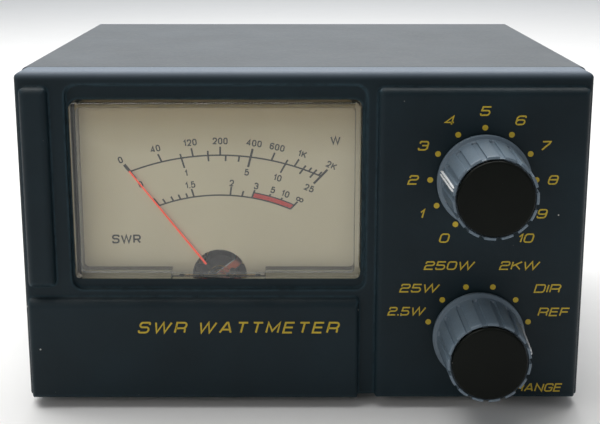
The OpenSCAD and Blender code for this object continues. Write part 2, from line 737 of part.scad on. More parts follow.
module line_trough() color([0.72, 0.70, 0.62]) difference() {
    half = socket_pitch / 2 + 16;
    rear(0, socket_z) union() {
        box_at(-half, half, -trough_half, trough_half, -sheet - 1, -sheet);
        for (s = [-1, 1])
            box_at(-half, half, s * (trough_half - 0.4) - 0.4, s * (trough_half - 0.4) + 0.4, -trough_d - sheet, -sheet);
    }
    for (s = [-1, 1]) rear(s * socket_pitch / 2, socket_z) translate([0, 0, -5]) cylinder(r = barrel_r - 0.05, h = 6);
    at_flange_holes() translate([0, 0, -5]) cylinder(r = screw_r, h = 6);
}

module line_rod() color(COPPER) rear(0, socket_z) difference() {
    translate([-socket_pitch / 2 - 3, 0, line_z]) rotate([0, 90, 0]) cylinder(r = line_r, h = socket_pitch + 6);
    for (s = [-1, 1]) translate([s * socket_pitch / 2 - 2, -2, line_z + line_r - 0.2]) cube([4, 4, 1]);
}

module coupler_board() color([0.20, 0.42, 0.24]) rear(0, socket_z) {
    box_at(-28, 28, -12.2, 12.2, -20.6, -19);
    for (s = [-1, 1]) {
        box_at(-20, 20, s * 5 - 0.6, s * 5 + 0.6, -19, -18.4);
        translate([s * 22, 5, -22.2]) rotate([90, 0, 0]) cylinder(r = 1.6, h = 10);
        translate([s * 12, 0, -23.8]) cylinder(r = 2.6, h = 3.2);
    }
}

board_holes = [for (x = [board_x - 36, board_x + 36], d = [board_front + 4, board_front + board_d - 4]) [x, d]];

module main_board() color([0.22, 0.40, 0.22]) difference() {
    union() {
        translate(inside(board_x - board_w / 2, board_front, board_top - 1.6)) cube([board_w, board_d, 1.6]);
        for (b = board_holes) translate(inside(b[0], b[1], sheet)) cylinder(r = 2.6, h = board_top - 1.6 - sheet);
    }
    for (b = board_holes) translate(inside(b[0], b[1], 0)) cylinder(r = screw_r, h = 20);
}

module board_parts() color([0.80, 0.70, 0.50]) {
    pitch = 7;
    for (i = [0:6]) translate(inside(board_x - 22 + i * pitch, board_front + 14, board_top)) {
        translate([0, 4, 1.4]) rotate([90, 0, 0]) cylinder(r = 1.2, h = 8);
        for (s = [-1, 1]) translate([0, s * 4.6, 0]) cylinder(r = 0.4, h = 1.4);
        translate([0, 5, 1.4]) rotate([90, 0, 0]) cylinder(r = 0.4, h = 10);
    }
    for (i = [0:3]) translate(inside(board_x - 18 + i * 12, board_front + 28, board_top)) cylinder(r = 3, h = 7);
}

// Routes of the leads, from their terminals down to the board
lead_r = 0.7;
stud_end = 46.2;

meter_routes = [for (s = [-1, 1]) [
    inside(window_x + s * 26, stud_end, 46), inside(window_x + s * 26, 50, 46),
    inside(window_x + s * 26 - s * 2, 57, 42), inside(window_x + s * 22, 60, 30),
    inside(window_x + s * 20, 60, 18), inside(window_x + s * 20, 60, board_top)]];

coupler_routes = [for (s = [-1, 1]) [
    inside(s * 17, 109.4, 41), inside(s * 17, 106, 40), inside(s * 16, 101, 34),
    inside(s * 14 - 10, 95, 22), inside(s * 14 - 12, 93, 15), inside(s * 14 - 12, 93, board_top)]];

pot_routes = [for (s = [-1, 1]) [
    inside(control_x + s * 5, 11, 49.1), inside(control_x + s * 5, 13, 45), inside(control_x + s * 5 - 4, 24, 40),
    inside(36 + s * 2, 40, 34), inside(22 + s * 3, 56, 24), inside(15 + s * 3, 62, 15),
    inside(15 + s * 3, 63, board_top)]];

switch_routes = [for (s = [-1, 1]) [
    inside(control_x - 10.15, 13.2, range_z + s * 10.15), inside(control_x - 11.4, 13.2, range_z + s * 11.4),
    inside(control_x - 15, 19, range_z + s * 10), inside(28, 40, 20 + s * 7), inside(17, 56 + s * 6, 20),
    inside(14, 62 + s * 6, 15), inside(14, 64 + s * 6, board_top)]];

module meter_leads() color([0.75, 0.10, 0.08]) for (r = meter_routes) lead(r, lead_r);
module hookup_leads() color([0.15, 0.30, 0.65]) {
    for (r = coupler_routes) lead(r, lead_r);
    for (r = pot_routes) lead(r, lead_r);
    for (r = switch_routes) lead(r, lead_r);
}

front_bezel();
top_cover();
chassis();
case_screws();
inner_screws();
feet();
meter_window();
meter_case();
meter_strap();
dial_plate();
dial_screws();
return_ring();
magnet_core();
bearing_bridges();
jewel_screws();
movement_posts();
coil_former();
coil_winding();
pivot_staffs();
needle();
needle_hub();
hairsprings();
zero_lever();
zero_screw();
terminal_studs();
terminal_nuts();
cal_knob();
cal_knob_cap();
cal_knob_pointer();
pot_bushing();
pot_can();
pot_track();
pot_wiper();
pot_shaft();
range_knob();
range_knob_cap();
range_knob_pointer();
switch_frame();
switch_shaft();
detent_wheel();
detent_spring();
switch_wafer();
switch_rotor();
switch_contacts();
pot_nut();
switch_nut();
panel_washers();
transmitter_socket();
antenna_socket();
socket_insulators();
socket_contacts();
socket_screws();
socket_nuts();
line_trough();
line_rod();
coupler_board();
main_board();
board_parts();
meter_leads();
hookup_leads();
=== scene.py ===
"""Looks of a bench SWR meter: finishes, printing, knobs, sockets, coil, light and camera."""

import json
import math

import bmesh
import bpy
from bpy.props import FloatProperty, FloatVectorProperty, IntProperty, PointerProperty
from mathutils import Matrix, Vector


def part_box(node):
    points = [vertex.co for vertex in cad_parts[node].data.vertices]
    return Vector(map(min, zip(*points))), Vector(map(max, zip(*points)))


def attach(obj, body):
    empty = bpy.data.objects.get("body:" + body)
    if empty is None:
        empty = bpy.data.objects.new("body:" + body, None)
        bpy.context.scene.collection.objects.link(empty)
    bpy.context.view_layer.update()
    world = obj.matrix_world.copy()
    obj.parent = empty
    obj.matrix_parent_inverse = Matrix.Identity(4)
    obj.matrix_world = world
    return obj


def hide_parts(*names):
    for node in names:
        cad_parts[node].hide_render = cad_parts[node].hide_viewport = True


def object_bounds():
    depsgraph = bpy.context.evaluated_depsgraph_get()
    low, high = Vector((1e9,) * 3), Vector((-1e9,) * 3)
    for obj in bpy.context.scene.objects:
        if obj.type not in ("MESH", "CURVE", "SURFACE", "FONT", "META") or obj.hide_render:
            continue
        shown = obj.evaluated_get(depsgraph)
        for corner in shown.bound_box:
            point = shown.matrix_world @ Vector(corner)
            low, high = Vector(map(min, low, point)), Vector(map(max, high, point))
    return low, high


bl_info = {
    "name": "SWR meter finish",
    "version": (1, 0, 0),
    "blender": (4, 5, 0),
    "location": "View3D > Sidebar > SWR meter",
    "description": "Finishes, printing, knobs, sockets and studio for a bench SWR meter",
    "category": "Object",
}

MM = 0.001

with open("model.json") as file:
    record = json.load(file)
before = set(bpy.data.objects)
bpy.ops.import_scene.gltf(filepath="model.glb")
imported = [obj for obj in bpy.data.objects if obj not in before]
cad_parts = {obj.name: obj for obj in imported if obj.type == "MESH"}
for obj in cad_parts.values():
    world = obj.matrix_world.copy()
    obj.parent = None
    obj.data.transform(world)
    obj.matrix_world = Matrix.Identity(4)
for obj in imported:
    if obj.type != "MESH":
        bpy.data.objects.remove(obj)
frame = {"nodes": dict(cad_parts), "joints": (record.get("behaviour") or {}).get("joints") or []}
CAD_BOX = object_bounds()


def joint_place(name):
    """Where a joint's axis passes, in the row frame."""
    return Vector(next(j["pos_m"] for j in frame["joints"] if j["name"] == name))


PIVOT = joint_place("needle_swing")
CAL_AXIS = joint_place("cal_turn")
RANGE_AXIS = joint_place("range_turn")
FRONT_Y = CAL_AXIS.y
CASE_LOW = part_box("front_bezel")[0].z
# Degrees from straight up at rest
CAL_REST = -78
RANGE_REST = 75
NEEDLE_REST = -37.8


# ---- settings ----


def colour(name, description, *default):
    return FloatVectorProperty(name=name, description=description, default=default, subtype="COLOR", size=3)


def length(name, description, millimetres):
    return FloatProperty(name=name, description=description, default=millimetres * MM, unit="LENGTH")


def power(name, description, watts):
    return FloatProperty(name=name, description=description, default=watts, unit="POWER")


class CaseSettings(bpy.types.PropertyGroup):
    plastic: colour("Bezel colour", "Dark blue-green moulding of the front", 0.0062, 0.0150, 0.0205)
    paint: colour("Cover colour", "Textured grey paint of the cover", 0.0520, 0.0620, 0.0710)
    dust: FloatProperty(
        name="Dust", description="Dust on the front", default=0.55, min=0, max=1, subtype="FACTOR"
    )


class PrintSettings(bpy.types.PropertyGroup):
    gold: colour("Gold ink", "Ink of the front", 0.480, 0.345, 0.022)
    black: colour("Dial ink", "Ink of the scales", 0.020, 0.020, 0.022)
    figure: length("Figure", "Height of figures round a knob", 2.65)
    word: length("Word", "Height of words round a knob", 2.5)
    title: length("Title", "Height of the lower plate's words", 3.4)
    dot: length("Dot", "Radius of a dot round a knob", 0.78)


class DialSettings(bpy.types.PropertyGroup):
    cream: colour("Dial colour", "Cream paint of the dial", 0.560, 0.480, 0.340)
    figure: length("Figure", "Height of figures on the dial", 1.9)
    watt_radius: length("Power arc", "Radius of the power scale", 68.7)
    watt_drop: length("Power drop", "Its centre under the pivot", 32.75)
    swr_radius: length("SWR arc", "Radius of the SWR scale", 49.5)
    swr_drop: length("SWR drop", "Its centre under the pivot", 24.9)


class KnobSettings(bpy.types.PropertyGroup):
    grey: colour("Knob colour", "Blue-grey moulding", 0.098, 0.136, 0.174)
    flutes: IntProperty(name="Flutes", description="Grooves round a knob", default=15, min=6, max=24)
    flute_depth: length("Flute depth", "Depth of a groove", 0.55)
    flute_width: length("Flute width", "Width of a groove", 1.5)


class StudioSettings(bpy.types.PropertyGroup):
    floor: colour("Floor colour", "Plain pale floor", 0.86, 0.86, 0.86)
    overhead: power("Overhead light", "Large light above", 18.0)
    glow: power("Back glow", "Wide light behind", 6.5)
    fill: power("Fill light", "Light in front", 3.0)
    lens: FloatProperty(name="Lens", description="Focal length in millimetres", default=66.6)


# ---- shader helpers ----


def plug(tree, socket, value):
    """Links an output to a socket, or sets the socket to a plain value."""
    if isinstance(value, bpy.types.NodeSocket):
        tree.links.new(value, socket)
    elif socket.type == "RGBA":
        socket.default_value = (*value[:3], 1)
    else:
        socket.default_value = value


def add_node(tree, kind, **sockets):
    """New node of a kind, with its inputs plugged by name."""
    node = tree.nodes.new(kind)
    for name, value in sockets.items():
        plug(tree, node.inputs[name.replace("_", " ")], value)
    return node


def math_node(tree, operation, first, second, kind="ShaderNodeMath", out=0):
    node = tree.nodes.new(kind)
    node.operation = operation
    plug(tree, node.inputs[0], first)
    plug(tree, node.inputs[1], second)
    return node.outputs[out]


def times(tree, first, second):
    return math_node(tree, "MULTIPLY", first, second)


def larger(tree, first, second):
    return math_node(tree, "MAXIMUM", first, second)


def ramp(tree, source, low, high, start=0.0, end=1.0):
    """A value between low and high stretched to start and end, and held outside them."""
    node = add_node(
        tree, "ShaderNodeMapRange", Value=source, From_Min=low, From_Max=high, To_Min=start, To_Max=end
    )
    node.clamp = True
    return node.outputs["Result"]


def mix_colour(tree, factor, first, second, blend="MIX"):
    """Colour mix. Each input is a socket or a plain value."""
    node = tree.nodes.new("ShaderNodeMix")
    node.data_type = "RGBA"
    node.blend_type = blend
    for index, value in ((0, factor), (6, first), (7, second)):
        plug(tree, node.inputs[index], value)
    return node.outputs[2]


def mottled(tree, base, source, low, high):
    """Colour made a little darker or lighter from place to place."""
    return mix_colour(tree, 1.0, base, ramp(tree, source, 0.3, 0.7, low, high), "MULTIPLY")


def noise(tree, vector, scale, detail=3.0, roughness=0.55):
    node = add_node(
        tree, "ShaderNodeTexNoise", Vector=vector, Scale=scale, Detail=detail, Roughness=roughness
    )
    return node.outputs[0]


def object_place(tree):
    return tree.nodes.new("ShaderNodeTexCoord").outputs["Object"]


def axes_of(tree, vector):
    return add_node(tree, "ShaderNodeSeparateXYZ", Vector=vector).outputs


def surface_normal(tree):
    return tree.nodes.new("ShaderNodeNewGeometry").outputs["Normal"]


def new_group(name, inputs, outputs):
    """Empty shader group, with its inputs as name: default and its outputs as name: kind."""
    group = bpy.data.node_groups.new(name, "ShaderNodeTree")
    for label, default in inputs.items():
        kind = "NodeSocketVector" if isinstance(default, tuple) else "NodeSocketFloat"
        group.interface.new_socket(label, in_out="INPUT", socket_type=kind).default_value = default
    for label, kind in outputs.items():
        group.interface.new_socket(label, in_out="OUTPUT", socket_type="NodeSocket" + kind)
    return group, group.nodes.new("NodeGroupInput").outputs, group.nodes.new("NodeGroupOutput").inputs


def build_grain(name):
    """Moulded or painted grain: a height and a slow mottle."""
    group, given, made = new_group(
        name, {"Scale": 1500.0, "Coarse": 0.3}, {"Height": "Float", "Mottle": "Float"}
    )
    place, scale = object_place(group), given["Scale"]
    fine = add_node(group, "ShaderNodeTexVoronoi", Vector=place, Scale=scale)
    fine.feature = "SMOOTH_F1"
    soft = noise(group, place, times(group, scale, 0.35), 4.0, 0.6)
    rough = times(group, soft, given["Coarse"])
    plug(group, made["Height"], math_node(group, "ADD", fine.outputs["Distance"], rough))
    plug(group, made["Mottle"], noise(group, place, 45.0, 5.0))
    return group


def build_dust(name):
    """Scattered specks, and a film that settles on faces that look up."""
    group, given, made = new_group(
        name, {"Amount": 0.5, "Scale": 260.0}, {"Specks": "Float", "Film": "Float"}
    )
    place, amount = object_place(group), given["Amount"]
    cells = add_node(group, "ShaderNodeTexVoronoi", Vector=place, Scale=given["Scale"])
    size = add_node(group, "ShaderNodeSeparateColor", Color=cells.outputs["Color"]).outputs[0]
    limit = times(group, ramp(group, size, 0.80, 1.0, 0.0, 0.17), amount)
    near = math_node(group, "SUBTRACT", limit, cells.outputs["Distance"])
    plug(group, made["Specks"], ramp(group, near, 0.0, 0.03))
    lying = ramp(group, axes_of(group, surface_normal(group))["Z"], 0.2, 1.0)
    patch = ramp(group, noise(group, place, 70.0, 6.0, 0.65), 0.35, 0.75)
    film = times(group, lying, patch)
    plug(group, made["Film"], times(group, film, amount))
    return group


def build_edge(name):
    """Mask of the outer edges, from how far a rounded normal turns away, broken into patches: it marks
    rubbing, and on the bezel a painted highlight.
    """
    group, given, made = new_group(
        name, {"Radius": 0.0004, "Breakup": 400.0}, {"Mask": "Float", "Normal": "Vector"}
    )
    bevel = add_node(group, "ShaderNodeBevel", Radius=given["Radius"])
    bevel.samples = 4
    rounded = bevel.outputs[0]
    facing = math_node(group, "DOT_PRODUCT", rounded, surface_normal(group), "ShaderNodeVectorMath", 1)
    edge_breakup = ramp(group, noise(group, object_place(group), given["Breakup"], 3.0, 0.6), 0.22, 0.52)
    plug(group, made["Mask"], times(group, ramp(group, facing, 0.99, 0.80), edge_breakup))
    plug(group, made["Normal"], rounded)
    return group


def build_brushed(name):
    """Drawn metal: fine lines along one axis."""
    group, given, made = new_group(
        name, {"Stretch": (1.0, 1.0, 1.0), "Scale": 900.0}, {"Lines": "Float", "Patches": "Float"}
    )
    place = object_place(group)
    drawn = math_node(group, "MULTIPLY", place, given["Stretch"], "ShaderNodeVectorMath")
    plug(group, made["Lines"], noise(group, drawn, given["Scale"], 2.0, 0.5))
    plug(group, made["Patches"], noise(group, place, 120.0, 4.0))
    return group


GROUPS = {
    "moulded grain": build_grain,
    "dust": build_dust,
    "rubbed edge": build_edge,
    "drawn metal": build_brushed,
}


def place_group(tree, name, **sockets):
    """Outputs of a shared group, which is built the first time it is placed."""
    node = tree.nodes.new("ShaderNodeGroup")
    node.node_tree = bpy.data.node_groups.get(name) or GROUPS[name](name)
    for label, value in sockets.items():
        plug(tree, node.inputs[label], value)
    return node.outputs


def new_material(name, **plain):
    """Material with a bare Principled shader, whose plain inputs are set by name."""
    material = bpy.data.materials.new(name)
    material.use_nodes = True
    shader = material.node_tree.nodes["Principled BSDF"]
    for label, value in plain.items():
        plug(material.node_tree, shader.inputs[label.replace("_", " ")], value)
    return material, material.node_tree, shader


def dress(tree, shader, base, rough, height, strength, distance, normal=None):
    """Feeds colour, roughness and bump to a shader."""
    raised = add_node(tree, "ShaderNodeBump", Strength=strength, Distance=distance, Height=height)
    if normal is not None:
        plug(tree, raised.inputs["Normal"], normal)
    for label, value in (("Base Color", base), ("Roughness", rough), ("Normal", raised.outputs[0])):
        plug(tree, shader.inputs[label], value)


def add_object(name, data):
    thing = bpy.data.objects.new(name, data)
    bpy.context.scene.collection.objects.link(thing)
    return thing


# ---- finishes ----

NEEDLE_RED = (1.0, 0.075, 0.025)
# Painted highlight: colour of the bezel's top face and rounded top edge
PAINTED_TOP_HIGHLIGHT = (0.150, 0.185, 0.232)
# Added to the lighter edge colour: rubbing, and on the bezel a painted highlight
EDGE_WEAR_AND_HIGHLIGHT = (0.026, 0.046, 0.058)
# Colour multiplier of the dial's painted shadow at its top and of its browning at its left edge
DIAL_SHADOW_AND_BROWN = (0.50, 0.42, 0.26)


def moulded_plastic(
    name, colour, scale=1500.0, roughness=0.5, grain=0.25, edge=0.0003, dust=0, wear=0.35, top=None, **plain
):
    """Moulding with fine grain, mottle, edges lightened by rubbing and, on the bezel, by painted highlight,
    and dust, and a painted highlight on its top face if it has one.
    """
    material, tree, shader = new_material(name, **plain)
    grains = place_group(tree, "moulded grain", Scale=scale, Coarse=0.5)
    edges = place_group(tree, "rubbed edge", Radius=edge)
    base = mottled(tree, colour, grains["Mottle"], 0.82, 1.18)
    # Lighter edge colour: rubbing, and on the bezel a painted highlight along its rounded edges
    pale = tuple(min(1.0, c * 2.2 + rise) for c, rise in zip(colour, EDGE_WEAR_AND_HIGHLIGHT))
    base = mix_colour(tree, times(tree, edges["Mask"], wear), base, pale)
    rough = ramp(tree, grains["Height"], 0.2, 0.9, roughness - 0.06, roughness + 0.08)
    # Painted highlight: the top colour is blended in over the last few millimetres below the case's top,
    # standing in for light on its rounded top edge
    if top:
        height, crown = axes_of(tree, object_place(tree))["Z"], CAD_BOX[1].z
        painted_top_shading = ramp(tree, height, crown - 2.6 * MM, crown - 0.1 * MM)
        base = mix_colour(tree, math_node(tree, "POWER", painted_top_shading, 2.2), base, top)
    if dust > 0:
        dirt = place_group(tree, "dust", Amount=dust)
        film = times(tree, dirt["Film"], 0.10)
        cover = larger(tree, dirt["Specks"], film)
        base = mix_colour(tree, cover, base, (0.42, 0.42, 0.40))
        rough = larger(tree, rough, cover)
    dress(tree, shader, base, rough, grains["Height"], grain, 0.04 * MM, edges["Normal"])
    return material


def textured_paint(name, colour):
    """Sprayed paint with a fine pebbled skin over sheet steel."""
    material, tree, shader = new_material(name, Specular_IOR_Level=0.45)
    skin = place_group(tree, "moulded grain", Scale=950.0, Coarse=1.2)
    edges = place_group(tree, "rubbed edge", Radius=0.0005, Breakup=260.0)
    dirt = place_group(tree, "dust", Amount=0.35, Scale=330.0)
    base = mottled(tree, colour, skin["Mottle"], 0.90, 1.10)
    pits = ramp(tree, skin["Height"], 0.45, 1.15, 0.60, 1.30)
    base = mix_colour(tree, 1.0, base, pits, "MULTIPLY")
    base = mix_colour(tree, times(tree, edges["Mask"], 0.35), base, (0.24, 0.25, 0.26))
    specks = times(tree, dirt["Specks"], 0.6)
    film = times(tree, dirt["Film"], 0.12)
    base = mix_colour(tree, larger(tree, specks, film), base, (0.40, 0.40, 0.39))
    rough = ramp(tree, skin["Height"], 0.3, 1.2, 0.42, 0.58)
    dress(tree, shader, base, rough, skin["Height"], 0.55, 0.09 * MM, edges["Normal"])
    return material


def metal(
    name, colour, roughness, stretch=(1.0, 1.0, 1.0), scale=900.0, tarnish=0.15, depth=0.12, edge=0.0002
):
    """Bare or plated metal with drawn lines, patchy tarnish and softened edges."""
    material, tree, shader = new_material(name, Metallic=1.0)
    drawn = place_group(tree, "drawn metal", Stretch=stretch, Scale=scale)
    edges = place_group(tree, "rubbed edge", Radius=edge)
    stain = ramp(tree, drawn["Patches"], 0.45, 0.75, 0.0, tarnish * 2)
    base = mix_colour(tree, stain, colour, tuple(c * 0.55 for c in colour))
    rough = ramp(tree, drawn["Lines"], 0.3, 0.7, roughness - 0.06, roughness + 0.10)
    rough = math_node(tree, "ADD", rough, times(tree, stain, 0.25))
    dress(tree, shader, base, rough, drawn["Lines"], depth, 0.03 * MM, edges["Normal"])
    return material


def ink(name, colour, roughness=0.5):
    """Screen-printed ink, with a slightly uneven film."""
    material, tree, shader = new_material(name, Specular_IOR_Level=0.35)
    film = place_group(tree, "moulded grain", Scale=2600.0, Coarse=0.8)
    base = mottled(tree, colour, film["Mottle"], 0.86, 1.10)
    rough = ramp(tree, film["Height"], 0.3, 1.0, roughness - 0.05, roughness + 0.1)
    dress(tree, shader, base, rough, film["Height"], 0.15, 0.02 * MM)
    return material


def fluorescent_paint():
    """Thin bright red paint, with a little emission of its own red as a painted glow."""
    material = ink("needle red", NEEDLE_RED, 0.4)
    shader = material.node_tree.nodes["Principled BSDF"]
    # Painted glow: the needle emits a little light though it is no lamp
    shader.inputs["Emission Color"].default_value = (*NEEDLE_RED, 1)
    shader.inputs["Emission Strength"].default_value = 0.22
    return material


def dial_paint(colour):
    """Cream paint, browned and darkened by painted shadow towards the plate's top, browner towards its left
    edge, and darker towards its foot by painted shade.
    """
    material, tree, shader = new_material("dial cream", Specular_IOR_Level=0.3)
    grains = place_group(tree, "moulded grain", Scale=2200.0, Coarse=0.6)
    place = axes_of(tree, object_place(tree))
    low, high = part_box("dial_plate")
    # Painted shadow: the top of the dial is browned and darkened, standing in for the shadow of the
    # window's top frame
    painted_top_shading = ramp(tree, place["Z"], low.z + 0.74 * (high.z - low.z), high.z - 2 * MM, 0.0, 0.95)
    left = ramp(tree, place["X"], low.x + 14 * MM, low.x + 2 * MM, 0.0, 0.35)
    shadow_and_brown = larger(tree, painted_top_shading, left)
    base = mix_colour(tree, shadow_and_brown, colour, tuple(c * s for c, s in zip(colour, DIAL_SHADOW_AND_BROWN)))
    base = mottled(tree, base, grains["Mottle"], 0.96, 1.03)
    # Painted shade: darker towards the foot, where the ledge below the dial shades it
    painted_foot_shade = ramp(tree, place["Z"], low.z + 4 * MM, low.z + 16 * MM, 0.78, 1.0)
    base = mix_colour(tree, 1.0, base, painted_foot_shade, "MULTIPLY")
    rough = ramp(tree, grains["Height"], 0.3, 1.0, 0.55, 0.7)
    dress(tree, shader, base, rough, grains["Height"], 0.08, 0.02 * MM)
    return material


def clear_acrylic():
    """Clear moulding. Rays from lamps and matt surfaces pass it straight and light what is behind."""
    material, tree, shader = new_material(
        "clear acrylic", Base_Color=(0.97, 0.985, 0.98), IOR=1.49, Transmission_Weight=1.0
    )
    edges = place_group(tree, "rubbed edge", Radius=0.0005)
    dirt = place_group(tree, "dust", Amount=0.25, Scale=240.0)
    haze = ramp(tree, noise(tree, object_place(tree), 160.0, 5.0), 0.4, 0.8, 0.0, 0.03)
    specks = times(tree, dirt["Specks"], 0.35)
    plug(tree, shader.inputs["Roughness"], larger(tree, haze, specks))
    plug(tree, shader.inputs["Normal"], edges["Normal"])
    through = add_node(tree, "ShaderNodeBsdfTransparent", Color=(0.93, 0.95, 0.94))
    seen = shader.outputs[0]
    path = tree.nodes.new("ShaderNodeLightPath")
    for ray in ("Is Shadow Ray", "Is Diffuse Ray"):
        mixed = tree.nodes.new("ShaderNodeMixShader")
        for index, value in enumerate((path.outputs[ray], seen, through.outputs[0])):
            plug(tree, mixed.inputs[index], value)
        seen = mixed.outputs[0]
    plug(tree, tree.nodes["Material Output"].inputs["Surface"], seen)
    return material


# Maker, colour and other values of each finish that several pieces may share
FINISHES = {
    "bright nickel": (metal, (0.58, 0.565, 0.53), 0.24, {"scale": 500.0, "tarnish": 0.05, "depth": 0.03}),
    "zinc plate": (metal, (0.50, 0.51, 0.51), 0.36, {"stretch": (0.05, 0.3, 1.0), "tarnish": 0.10}),
    "turned brass": (metal, (0.72, 0.52, 0.22), 0.28, {"stretch": (1.0, 0.2, 1.0)}),
    "enamelled copper": (metal, (0.70, 0.26, 0.12), 0.30, {"scale": 1400.0, "tarnish": 0.2}),
    "coil wire": (metal, (0.50, 0.130, 0.070), 0.36, {"scale": 1400.0, "tarnish": 0.3}),
    "bare aluminium": (metal, (0.78, 0.79, 0.80), 0.32, {"stretch": (1.0, 0.1, 1.0)}),
    "blackened steel": (metal, (0.07, 0.07, 0.07), 0.5, {}),
    "soft iron": (metal, (0.13, 0.125, 0.12), 0.5, {"tarnish": 0.3}),
    "sintered magnet": (metal, (0.050, 0.050, 0.054), 0.55, {"scale": 400.0}),
    "silver plate": (metal, (0.86, 0.84, 0.80), 0.25, {"tarnish": 0.3}),
    "tinned steel": (metal, (0.60, 0.60, 0.57), 0.40, {"tarnish": 0.35}),
    "white nylon": (moulded_plastic, (0.74, 0.74, 0.70), 0.45, {"grain": 0.1, "wear": 0.0}),
    "brown laminate": (moulded_plastic, (0.20, 0.10, 0.04), 0.5, {"scale": 700.0, "wear": 0.1}),
    "matt black moulding": (moulded_plastic, (0.016, 0.016, 0.017), 0.6, {"wear": 0.1}),
    "foot rubber": (moulded_plastic, (0.018, 0.018, 0.018), 0.75, {"scale": 600.0}),
    "ptfe": (moulded_plastic, (0.80, 0.80, 0.78), 0.35, {"grain": 0.05, "wear": 0.0}),
    "board green": (moulded_plastic, (0.030, 0.120, 0.045), 0.35, {"scale": 800.0}),
    "lacquered parts": (moulded_plastic, (0.42, 0.28, 0.11), 0.3, {"scale": 500.0}),
    "red lead": (moulded_plastic, (0.42, 0.02, 0.02), 0.4, {"scale": 700.0}),
    "blue lead": (moulded_plastic, (0.03, 0.07, 0.32), 0.4, {"scale": 700.0}),
}
MADE = {}


def shared(name):
    """A finish of the table, made once."""
    if name not in MADE:
        make, colour, roughness, values = FINISHES[name]
        MADE[name] = make(name, colour, roughness=roughness, **values)
    return MADE[name]


def use(finish, *nodes):
    """Puts a material, or a finish of the table, on CAD nodes."""
    for name in nodes:
        slots = frame["nodes"][name].data.materials
        slots.clear()
        slots.append(shared(finish) if isinstance(finish, str) else finish)


# ---- mesh helpers ----


def round_corners(points, closed=False, steps=5):
    """Points (x, y) or (x, y, radius): a corner with a radius becomes an arc."""
    path, count = [], len(points)
    for i, point in enumerate(points):
        here = Vector(point[:2])
        radius = point[2] if len(point) > 2 else 0
        if radius <= 0 or (not closed and i in (0, count - 1)):
            path.append(here)
            continue
        before = Vector(points[i - 1][:2]) - here
        after = Vector(points[(i + 1) % count][:2]) - here
        angle = before.angle(after)
        reach = min(radius / math.tan(angle / 2), 0.499 * before.length, 0.499 * after.length)
        radius = reach * math.tan(angle / 2)
        toward = (before.normalized() + after.normalized()).normalized()
        centre = here + toward * (radius / math.sin(angle / 2))
        start = here + before.normalized() * reach - centre
        finish = here + after.normalized() * reach - centre
        turn = start.angle_signed(finish)
        for k in range(steps + 1):
            share = -turn * k / steps
            path.append(centre + Matrix.Rotation(share, 2) @ start)
    return path


def offset_sides(path, half, closed):
    """Points to the left and right of a path, mitred at its corners."""
    left, right = [], []
    count = len(path)
    for i, here in enumerate(path):
        back = path[i - 1] if i > 0 or closed else None
        ahead = path[(i + 1) % count] if i < count - 1 or closed else None
        into = (here - back).normalized() if back is not None else None
        onto = (ahead - here).normalized() if ahead is not None else None
        into, onto = into or onto, onto or into
        normal = Vector((-into.y - onto.y, into.x + onto.x))
        normal = normal.normalized() if normal.length > 1e-6 else Vector((-into.y, into.x))
        stretch = half / max(0.45, normal.dot(Vector((-into.y, into.x))))
        left.append(here + normal * stretch)
        right.append(here - normal * stretch)
    return left, right


def tube_faces(rings, sides, base=0, closed=True, capped=False, wrapped=True):
    """Faces between rings of points: a closed run of rings, or an open one that may be capped."""
    faces = []
    for i in range(rings if closed else rings - 1):
        here, ahead = base + i * sides, base + (i + 1) % rings * sides
        for k in range(sides if wrapped else sides - 1):
            m = (k + 1) % sides
            faces.append((here + k, here + m, ahead + m, ahead + k))
    if capped:
        faces.append(tuple(base + k for k in reversed(range(sides))))
        faces.append(tuple(base + (rings - 1) * sides + k for k in range(sides)))
    return faces


class Solid:
    """Points and faces of a shape, with x and y on its plane and z its height."""

    def __init__(self, verts=(), faces=()):
        self.verts = list(verts)
        self.faces = list(faces)

    def band(self, inner, outer, low, high, closed=False):
        """Bar of rectangular section between two point lists of the same length."""
        base = len(self.verts)
        for a, b in zip(inner, outer):
            self.verts += [(*a, high), (*b, high), (*b, low), (*a, low)]
        self.faces += tube_faces(len(inner), 4, base, closed, not closed)

    def ribbon(self, path, width, low, high, closed=False):
        """Bar of rectangular section along a flat path."""
        self.band(*offset_sides(path, width / 2, closed), low, high, closed)

    def disc(self, centre, radius, low, high, sides=28):
        base = len(self.verts)
        for z in (low, high):
            for i in range(sides):
                turn = 2 * math.pi * i / sides
                x, y = centre[0] + radius * math.cos(turn), centre[1] + radius * math.sin(turn)
                self.verts.append((x, y, z))
        self.faces += tube_faces(2, sides, base, closed=False, capped=True)

    def add(self, other):
        base = len(self.verts)
        self.verts += other.verts
        self.faces += [tuple(base + i for i in face) for face in other.faces]


def make_piece(name, place, solid, material, body="root", smooth=None):
    """Mesh object of a solid, placed in the row frame, that rides on a body. An edge up to the
    smooth angle stays smooth."""
    mesh = bpy.data.meshes.new(name)
    mesh.from_pydata([tuple(place @ Vector(v)) for v in solid.verts], [], solid.faces)
    tidy = bmesh.new()
    tidy.from_mesh(mesh)
    bmesh.ops.remove_doubles(tidy, verts=tidy.verts, dist=1e-7)
    bmesh.ops.dissolve_degenerate(tidy, edges=tidy.edges, dist=1e-8)
    bmesh.ops.recalc_face_normals(tidy, faces=tidy.faces)
    if smooth is not None:
        for face in tidy.faces:
            face.smooth = True
        for edge in tidy.edges:
            edge.smooth = edge.calc_face_angle(0) < math.radians(smooth)
    tidy.to_mesh(mesh)
    tidy.free()
    mesh.materials.append(material)
    piece = add_object(name, mesh)
    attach(piece, body)
    return piece


def facing_front(origin, degrees=0):
    """Print plane to row frame: x right, y up, z out of the front, turned clockwise."""
    plane = Matrix.Translation(origin) @ Matrix.Rotation(math.radians(90), 4, "X")
    return plane @ Matrix.Rotation(-math.radians(degrees), 4, "Z") if degrees else plane


